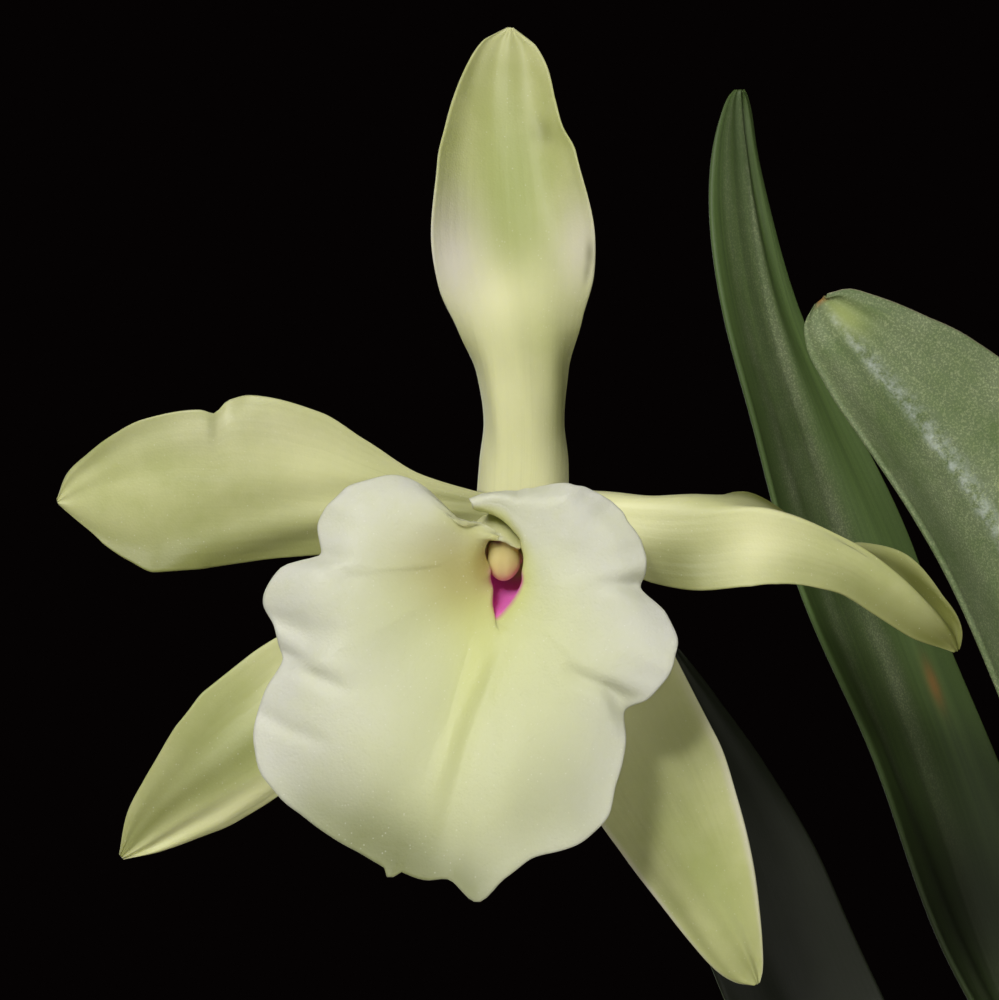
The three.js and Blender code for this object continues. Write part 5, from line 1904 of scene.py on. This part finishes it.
@dataclass
class Maker:
    """A Geometry Nodes tree with named inputs, run once on a mesh and then removed."""

    name: str
    inputs: dict[str, tuple[str, object]]
    tree: Tree = field(init=False)
    sockets: dict[str, Socket] = field(init=False)

    def __post_init__(self) -> None:
        """Makes the empty tree and its named inputs."""
        self.tree = bpy.data.node_groups.new(self.name, "GeometryNodeTree")
        face = self.tree.interface
        face.new_socket("Geometry", in_out="INPUT", socket_type="NodeSocketGeometry")
        self.identifiers = {
            name: face.new_socket(name, in_out="INPUT", socket_type=f"NodeSocket{kind}").identifier
            for name, (kind, _) in self.inputs.items()
        }
        face.new_socket("Geometry", in_out="OUTPUT", socket_type="NodeSocketGeometry")
        entry = add(self.tree, "NodeGroupInput")
        self.sockets = {s.name: s for s in entry.outputs if s.name}

    def close(self, last: Node) -> None:
        """Ends the tree: real instances, the material, and the output."""
        real = geo(self.tree, "RealizeInstances", last)
        dressed = geo(self.tree, "SetMaterial", real, material=self.sockets["Finish"])
        add(self.tree, "NodeGroupOutput", dressed)

    def run(self, source: Item, name: str) -> Item:
        """Runs the tree on an object.

        Args:
            source: the object whose mesh goes in. It is removed.
            name: name of the result.

        Returns:
            A plain mesh object at the origin.
        """
        modifier = source.modifiers.new(self.name, "NODES")
        modifier.node_group = self.tree
        for key, (_, value) in self.inputs.items():
            modifier[self.identifiers[key]] = value
        graph = bpy.context.evaluated_depsgraph_get()
        mesh = bpy.data.meshes.new_from_object(source.evaluated_get(graph))
        source.modifiers.remove(modifier)
        bpy.data.objects.remove(source)
        mesh.name = f"{name}_fine"
        item = bpy.data.objects.new(mesh.name, mesh)
        bpy.context.scene.collection.objects.link(item)
        return item


@dataclass
class Roots:
    """White roots that run over the bark and dive into it."""

    sides: int = 20
    points: int = 90
    knobble: float = 0.22

    def path(self, line: list[Spot]) -> Array:
        """Route of one root: out of the rhizome, over the bark, and down its hole.

        Args:
            line: its start, bend and hole, seen from above.

        Returns:
            Points in millimetres.
        """
        rest = BARK_TOP + ROOT_RADIUS + GAP
        (sx, sy), (mx, my), (ex, ey) = line
        length = math.hypot(ex - mx, ey - my)
        bx, by = ex - ROOT_BEND * (ex - mx) / length, ey - ROOT_BEND * (ey - my) / length
        first = math.hypot(mx - sx, my - sy)
        points = [
            (sx - ROOT_TOE * (mx - sx) / first, sy - ROOT_TOE * (my - sy) / first, rest + 1.6),
            (sx, sy, rest + 1.2), ((sx + mx) / 2, (sy + my) / 2, rest + 0.5), (mx, my, rest + 0.2),
            (mx + 0.6 * (bx - mx), my + 0.6 * (by - my), rest + 0.9), (bx, by, rest + 1.0),
            (ex - 0.25 * (ex - bx), ey - 0.25 * (ey - by), rest - 1.6), (ex, ey, rest - 6),
            (ex, ey, BARK_TOP - 12),
        ]
        return through(np.array(points, float), np.linspace(0, 1, self.points))

    def maker(self) -> Maker:
        """Tree that sweeps a knobbly round section along a line."""
        maker = Maker("root_along_line", {
            "Radius": ("Float", ROOT_RADIUS * MM),
            "Knobble": ("Float", self.knobble),
            "Sides": ("Int", self.sides),
            "Finish": ("Material", RootVelamen().material()),
        })
        tree, socket = maker.tree, maker.sockets
        curve = geo(tree, "MeshToCurve", socket["Geometry"])
        place = geo(tree, "InputPosition")
        noise = fractal(tree, place, 5, 2)
        thin = add(tree, "Math", 1.0, socket["Knobble"], operation="SUBTRACT")
        level = add(tree, "MapRange", noise, from_min=0.3, from_max=0.7, to_min=thin, to_max=1.0)
        circle = geo(
            tree, "CurvePrimitiveCircle", resolution=socket["Sides"], radius=socket["Radius"]
        )
        tube = geo(tree, "CurveToMesh", curve, circle, scale=level, fill_caps=True)
        maker.close(geo(tree, "SetShadeSmooth", tube))
        return maker

    def build(self) -> list[Item]:
        """The six roots."""
        maker = self.maker()
        made = []
        for i, line in enumerate(ROOT_LINES):
            points = self.path(line)
            mesh = bpy.data.meshes.new(f"line_{i}")
            mesh.from_pydata((points * MM).tolist(), [(k, k + 1) for k in range(len(points) - 1)], [])
            source = bpy.data.objects.new(f"line_{i}", mesh)
            bpy.context.scene.collection.objects.link(source)
            made.append(maker.run(source, f"root_{i + 1}"))
        return made

    def dress(self, roots: list[Item]) -> None:
        """Velamen."""
        for i, root in enumerate(roots):
            place_piece(root, RootVelamen(), Slot.ROOT, f"root_{i + 1}")


@dataclass
class BarkBed:
    """The filling of fir bark: a lumpy bed, with chips scattered over it clear of the plant."""

    seed: int = 11
    spacing: float = 3.4
    longest: float = 12.0
    smallest_room: float = 1.5
    shape_seed: int = 5
    turn_seed: int = 8
    tone_seed: int = 13
    rings: int = 60
    sides: int = 160

    @staticmethod
    def inner_radius(z: float) -> float:
        """Inner radius of the pot at a height."""
        shoulder = POT_HEIGHT - POT_RIM_HEIGHT
        return POT_BASE_RADIUS - POT_WALL + (POT_SHOULDER_RADIUS - POT_BASE_RADIUS) * z / shoulder

    def room(self, x: Array, y: Array) -> Array:
        """Distance from each point to the pot's wall, the rhizome or a root, in millimetres.

        Args:
            x: coordinate to the right.
            y: coordinate to the back.

        Returns:
            Distances.
        """
        best = self.inner_radius(BARK_TOP) - 1.0 - np.hypot(x, y)
        lines = [(RHIZOME_LINE, RHIZOME_RADIUS + 0.2)]
        lines += [(line, ROOT_RADIUS + 0.2) for line in ROOT_LINES]
        for points, radius in lines:
            for start, end in zip(points, points[1:]):
                best = np.minimum(best, beside(x, y, start, end)[1] - radius)
        return best

    def bed(self) -> Item:
        """The turned filling, with a lumpy top and marks for the room above it."""
        low = POT_FLOOR + GAP
        levels = (low, low + 2, *np.linspace(12, BARK_TOP - 4, 12))
        side = [(z, self.inner_radius(z) - GAP - 0.2) for z in levels]
        profile = [(side[0][1] - 2.4, low)] + [(r, z) for z, r in side[1:]]
        brim = self.inner_radius(BARK_TOP) - GAP
        profile += [(brim - 0.8, BARK_TOP - 2.6)]
        walls = len(profile)
        profile += [(r, BARK_TOP - 1.6) for r in np.linspace(brim - 2.2, 0, self.rings)[:-1]]
        points = turned(np.array(profile), self.sides)
        lumps = Swell(self.seed, 0.45, (9.0, 9.0), 9).at(points[..., 0] / 100, points[..., 1] / 100)
        is_top = (np.arange(len(profile)) >= walls)[:, None] * np.ones(self.sides)
        points[..., 2] += is_top * np.clip(lumps, -1, 0.9)
        ends = np.array([(0, 0, low), (0, 0, BARK_TOP - 1.6)])
        room = np.clip(self.room(points[..., 0], points[..., 1]), 0, 50) * is_top
        marks = {"room": room, "cork": 0 * room}
        return ring_object("bed", points, ends, marks)

    def maker(self) -> Maker:
        """Tree that scatters uneven chips over the bed's top."""
        maker = Maker("bark_chips", {
            "Spacing": ("Float", self.spacing * MM),
            "Longest chip": ("Float", self.longest),
            "Smallest room": ("Float", self.smallest_room),
            "Seed": ("Int", self.seed),
            "Finish": ("Material", FirBark().material()),
        })
        tree, socket = maker.tree, maker.sockets
        room = geo(tree, "InputNamedAttribute", "room", data_type="FLOAT")
        free = add(tree, "FunctionNodeCompare", room, socket["Smallest room"], operation="GREATER_THAN")
        scatter = geo(
            tree, "DistributePointsOnFaces", socket["Geometry"], free,
            distribute_method="POISSON", distance_min=socket["Spacing"], density_max=4e5, seed=socket["Seed"],
        )
        chip = geo(tree, "MeshCube", (1, 1, 1), vertices_x=6, vertices_y=4, vertices_z=3)
        span = times(tree, room, 1.75)
        drawn = add(
            tree, "FunctionNodeRandomValue", 5.5, socket["Longest chip"], data_type="FLOAT",
            seed=socket["Seed"],
        )
        length = add(tree, "Math", span, drawn, operation="MINIMUM")
        metres = times(tree, length, MM)
        shape = add(
            tree, "FunctionNodeRandomValue", (0.85, 0.45, 0.2), (1.0, 0.75, 0.42),
            data_type="FLOAT_VECTOR", seed=self.shape_seed,
        )
        size = add(tree, "VectorMath", shape, operation="SCALE", scale=metres)
        turn = add(
            tree, "FunctionNodeRandomValue", (-0.42, -0.38, 0.0), (0.42, 0.38, 6.28),
            data_type="FLOAT_VECTOR", seed=self.turn_seed,
        )
        chips = geo(tree, "InstanceOnPoints", scatter, instance=chip, rotation=turn, scale=size)
        tone = add(tree, "FunctionNodeRandomValue", 0.0, 0.75, data_type="FLOAT", seed=self.tone_seed)
        chips = geo(
            tree, "StoreNamedAttribute", chips, name="cork", value=tone, data_type="FLOAT",
            domain="INSTANCE",
        )
        real = geo(tree, "RealizeInstances", chips)
        noise = fractal(tree, geo(tree, "InputPosition"), 4.5, 3)
        centred = add(tree, "VectorMath", noise.outputs[1], (0.5, 0.5, 0.5), operation="SUBTRACT")
        shift = add(tree, "VectorMath", centred, (5 * MM, 5 * MM, 3 * MM), operation="MULTIPLY")
        uneven = geo(tree, "SetPosition", real, offset=shift)
        flat = geo(tree, "SetShadeSmooth", uneven, shade_smooth=False)
        joined = geo(tree, "JoinGeometry", flat)
        tree.links.new(socket["Geometry"], joined.inputs[0])
        maker.close(joined)
        return maker

    def build(self) -> Item:
        """The bed with its chips."""
        return self.maker().run(self.bed(), "bark_bed")

    def dress(self, piece: Item) -> None:
        """Fir bark."""
        place_piece(piece, FirBark(), Slot.BARK, "potting_bark")


@dataclass
class Pot:
    """A thrown clay pot with a heavy rim and four drain holes."""

    sides: int = 192
    wobble: float = 0.5
    ring_depth: float = 0.1
    ring_pitch: float = 16.0
    sharp_from: float = 0.7

    def profile(self) -> Array:
        """Half section: underside, outside, rim, inside, floor."""
        shoulder = POT_HEIGHT - POT_RIM_HEIGHT
        inner = BarkBed.inner_radius

        def bend(x: float, z: float, radius: float, start: float, end: float, steps: int = 6) -> list:
            """Points of an arc about a centre, from one angle to another."""
            turns = np.radians(np.linspace(start, end, steps + 1))
            return [(x + radius * math.cos(t), z + radius * math.sin(t)) for t in turns]

        points = [(r, 0.0) for r in (2, 12, 20, 28, 36)]
        points += bend(POT_BASE_RADIUS - 1.2, 1.2, 1.2, -90, 0)
        for z in np.linspace(4, shoulder - 1.0, 26):
            points.append((POT_BASE_RADIUS + (POT_SHOULDER_RADIUS - POT_BASE_RADIUS) * z / shoulder, z))
        points += bend(POT_SHOULDER_RADIUS + 1.0, shoulder - 0.6, 1.0, 180, 90, 4)
        points += bend(POT_RIM_RADIUS - 2.2, shoulder + 2.0, 1.6, -90, 0, 6)
        for z in np.linspace(shoulder + 4, POT_HEIGHT - 3.4, 8):
            points.append((POT_RIM_RADIUS - 0.6 + 0.6 * (z - shoulder) / POT_RIM_HEIGHT, z))
        points += bend(POT_RIM_RADIUS - 2.2, POT_HEIGHT - 2.2, 2.2, 0, 90, 8)
        points += bend(inner(POT_HEIGHT) + 2.2, POT_HEIGHT - 2.2, 2.2, 90, 180, 8)
        points += [(inner(z), z) for z in np.linspace(POT_HEIGHT - 5, POT_FLOOR + 4, 30)]
        points += bend(inner(POT_FLOOR) - 3, POT_FLOOR + 3, 3, 0, -90, 6)
        points += [(r, POT_FLOOR) for r in (28, 20, 12, 2)]
        return np.array(points, float)

    def blank(self) -> Item:
        """The turned pot before its surface and holes, with marks for its walls and salts."""
        profile = self.profile()
        points = turned(profile, self.sides)
        z = points[..., 2]
        outside = (np.arange(len(profile)) < np.argmax(profile[:, 1]))[:, None]
        low = np.exp(-(((z - 22) / 26) ** 2))
        rim = np.exp(-(((z - POT_HEIGHT) / 7) ** 2))
        wall = smooth(POT_BASE_RADIUS - 8, POT_BASE_RADIUS, np.hypot(points[..., 0], points[..., 1]))
        marks = {"salts": np.clip(outside * (0.35 + 0.65 * low) + rim, 0, 1), "wall": wall}
        return ring_object("blank", points, np.array([(0, 0, 0), (0, 0, POT_FLOOR)]), marks)

    def maker(self) -> Maker:
        """Tree that gives the wall its wheel marks and drills the floor."""
        maker = Maker("thrown_pot", {
            "Wobble": ("Float", self.wobble * MM),
            "Ring depth": ("Float", self.ring_depth * MM),
            "Ring pitch": ("Float", self.ring_pitch * MM),
            "Holes": ("Int", DRAIN_HOLES),
            "Hole radius": ("Float", DRAIN_HOLE_RADIUS * MM),
            "Hole ring radius": ("Float", DRAIN_HOLE_RING * MM),
            "Finish": ("Material", Terracotta().material()),
        })
        tree, socket = maker.tree, maker.sockets
        place = geo(tree, "InputPosition")
        level = add(tree, "SeparateXYZ", place).outputs["Z"]
        turns = add(tree, "Math", level, socket["Ring pitch"], operation="DIVIDE")
        angle = times(tree, turns, 2 * math.pi)
        wave = add(tree, "Math", angle, operation="SINE")
        rings = times(tree, wave, socket["Ring depth"])
        noise = fractal(tree, place, 45, 1)
        centred = add(tree, "Math", noise, 0.5, operation="SUBTRACT")
        total = add(tree, "Math", centred, socket["Wobble"], rings, operation="MULTIPLY_ADD")
        wall = geo(tree, "InputNamedAttribute", "wall", data_type="FLOAT")
        reach = times(tree, total, wall)
        level_out = add(tree, "VectorMath", place, (1, 1, 0), operation="MULTIPLY")
        outward = add(tree, "VectorMath", level_out, operation="NORMALIZE")
        shift = add(tree, "VectorMath", outward, operation="SCALE", scale=reach)
        thrown = geo(tree, "SetPosition", socket["Geometry"], offset=shift)
        ring = geo(tree, "MeshCircle", socket["Holes"], socket["Hole ring radius"])
        ring = geo(tree, "Transform", ring, rotation=(0, 0, math.pi / DRAIN_HOLES))
        drill = geo(tree, "MeshCylinder", 32, radius=socket["Hole radius"], depth=0.03)
        drills = geo(tree, "InstanceOnPoints", ring, instance=drill)
        drills = geo(tree, "RealizeInstances", drills)
        cut = geo(tree, "MeshBoolean", thrown, drills, operation="DIFFERENCE", solver="EXACT")
        round_skin = geo(tree, "SetShadeSmooth", cut)
        edge = geo(tree, "InputMeshEdgeAngle")
        sharp = add(tree, "FunctionNodeCompare", edge, self.sharp_from, operation="GREATER_THAN")
        maker.close(geo(tree, "SetShadeSmooth", round_skin, sharp, False, domain="EDGE"))
        return maker

    def build(self) -> Item:
        """The pot."""
        return self.maker().run(self.blank(), "pot")

    def dress(self, piece: Item) -> None:
        """Terracotta."""
        place_piece(piece, Terracotta(), Slot.CLAY, "pot")


# Studio


@dataclass
class Lamp:
    """A soft light, in metres and watts. A cone, in degrees, makes it a focused round light."""

    name: str
    place: Place
    size: float
    power: float
    colour: str = "#ffffff"
    cone: float = 0.0
    aim: Place = (-0.074, -0.04, 0.255)

    def build(self) -> None:
        """Makes the light and turns it to its aim."""
        data = bpy.data.lights.new(self.name, "SPOT" if self.cone else "AREA")
        if self.cone:
            data.spot_size, data.spot_blend = math.radians(self.cone), 1.0
            data.shadow_soft_size = self.size / 2
        else:
            data.size = self.size
        data.energy = self.power
        data.color = linear(self.colour)[:3]
        item = bpy.data.objects.new(self.name, data)
        item.location = self.place
        item.rotation_euler = (Vector(self.aim) - Vector(self.place)).to_track_quat("-Z", "Y").to_euler()
        item.visible_camera = False
        bpy.context.scene.collection.objects.link(item)


@dataclass
class Studio:
    """Dark room with soft lights, a pale round floor and the camera."""

    floor_radius: float = 1200.0
    backdrop: str = "#050303"
    lamps: list[Lamp] = field(default_factory=lambda: [
        Lamp("key", (-0.6, -1.15, 1.0), 0.7, 13.0, "#fffdf8"),
        Lamp("focus", (-0.36, -1.0, 0.68), 0.24, 35.5, "#fffdf8", 9.0),
        Lamp("fill", (1.0, -1.1, 0.25), 0.9, 4.9, "#fdfbf6"),
        Lamp("back", (-0.5, 1.2, 0.2), 0.8, 3.0, "#f4f6ff"),
    ])

    def build(self) -> None:
        """Makes the room."""
        self.camera()
        self.floor()
        world = bpy.data.worlds.new("room")
        world.use_nodes = True
        world.node_tree.nodes["Background"].inputs["Color"].default_value = linear(self.backdrop)
        bpy.context.scene.world = world
        for lamp in self.lamps:
            lamp.build()
        bpy.context.scene.view_settings.view_transform = "Standard"

    def camera(self) -> None:
        """Level camera straight in front of the flower."""
        data = bpy.data.cameras.new("camera")
        data.sensor_width = SENSOR
        data.lens = PIXELS_PER_MM * CAMERA_DISTANCE * SENSOR / PICTURE_LONG_SIDE
        data.clip_start, data.clip_end = CLIP_FROM, CLIP_TO
        item = bpy.data.objects.new("camera", data)
        x, y, z = AIM
        item.location = (x * MM, (y - CAMERA_DISTANCE) * MM, z * MM)
        item.rotation_euler = (math.radians(90), 0, 0)
        bpy.context.scene.collection.objects.link(item)
        bpy.context.scene.camera = item

    def floor(self) -> None:
        """Round pale floor under the pot, with a rounded edge."""
        radius = self.floor_radius
        profile = [(10, -12), (radius - 4, -12), (radius, -8), (radius, -2), (radius - 2, -0.2)]
        profile += [(r, -0.2) for r in (0.8 * radius, 0.6 * radius, 0.4 * radius, 0.2 * radius, 100)]
        points = turned(np.array(profile, float), 96)
        floor = ring_object("floor", points, np.array([(0, 0, -12), (0, 0, -0.2)]))
        floor.data.materials.append(StudioPaint().material())


def main() -> None:
    """Builds the plant, its pot and the studio."""
    logging.basicConfig(level=logging.INFO, format="%(name)s: %(message)s")
    Studio().build()
    for blade in [*make_tepals(), *make_leaves()]:
        blade.dress(blade.build())
    lip = Lip()
    lip.dress(lip.build())
    column = Column()
    column.dress(column.build())
    stalk = Stalk()
    stalk.dress(*stalk.build())
    stems = [
        Pseudobulb("pseudobulb_1", (-19, 0), (-24, -2, 158), 8, 6.4, 1),
        Pseudobulb("pseudobulb_2", (-1, 3), (-5, 7, 165), 8.4, 5.6, 2),
        Pseudobulb("pseudobulb_3", (17, -1), (17, -13, 170), 8.6, 5.8, 3),
        Pseudobulb("pseudobulb_4", (34, 3), (40, 12, 157), 8, 5.4, 4),
    ]
    for stem in stems:
        stem.dress(stem.build())
    for part in (Rhizome(), Roots(), BarkBed(), Pot()):
        part.dress(part.build())
    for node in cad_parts.values():
        if not node.hide_render:
            log.warning("%s is not replaced", node.name)


if __name__ == "__main__":
    main()
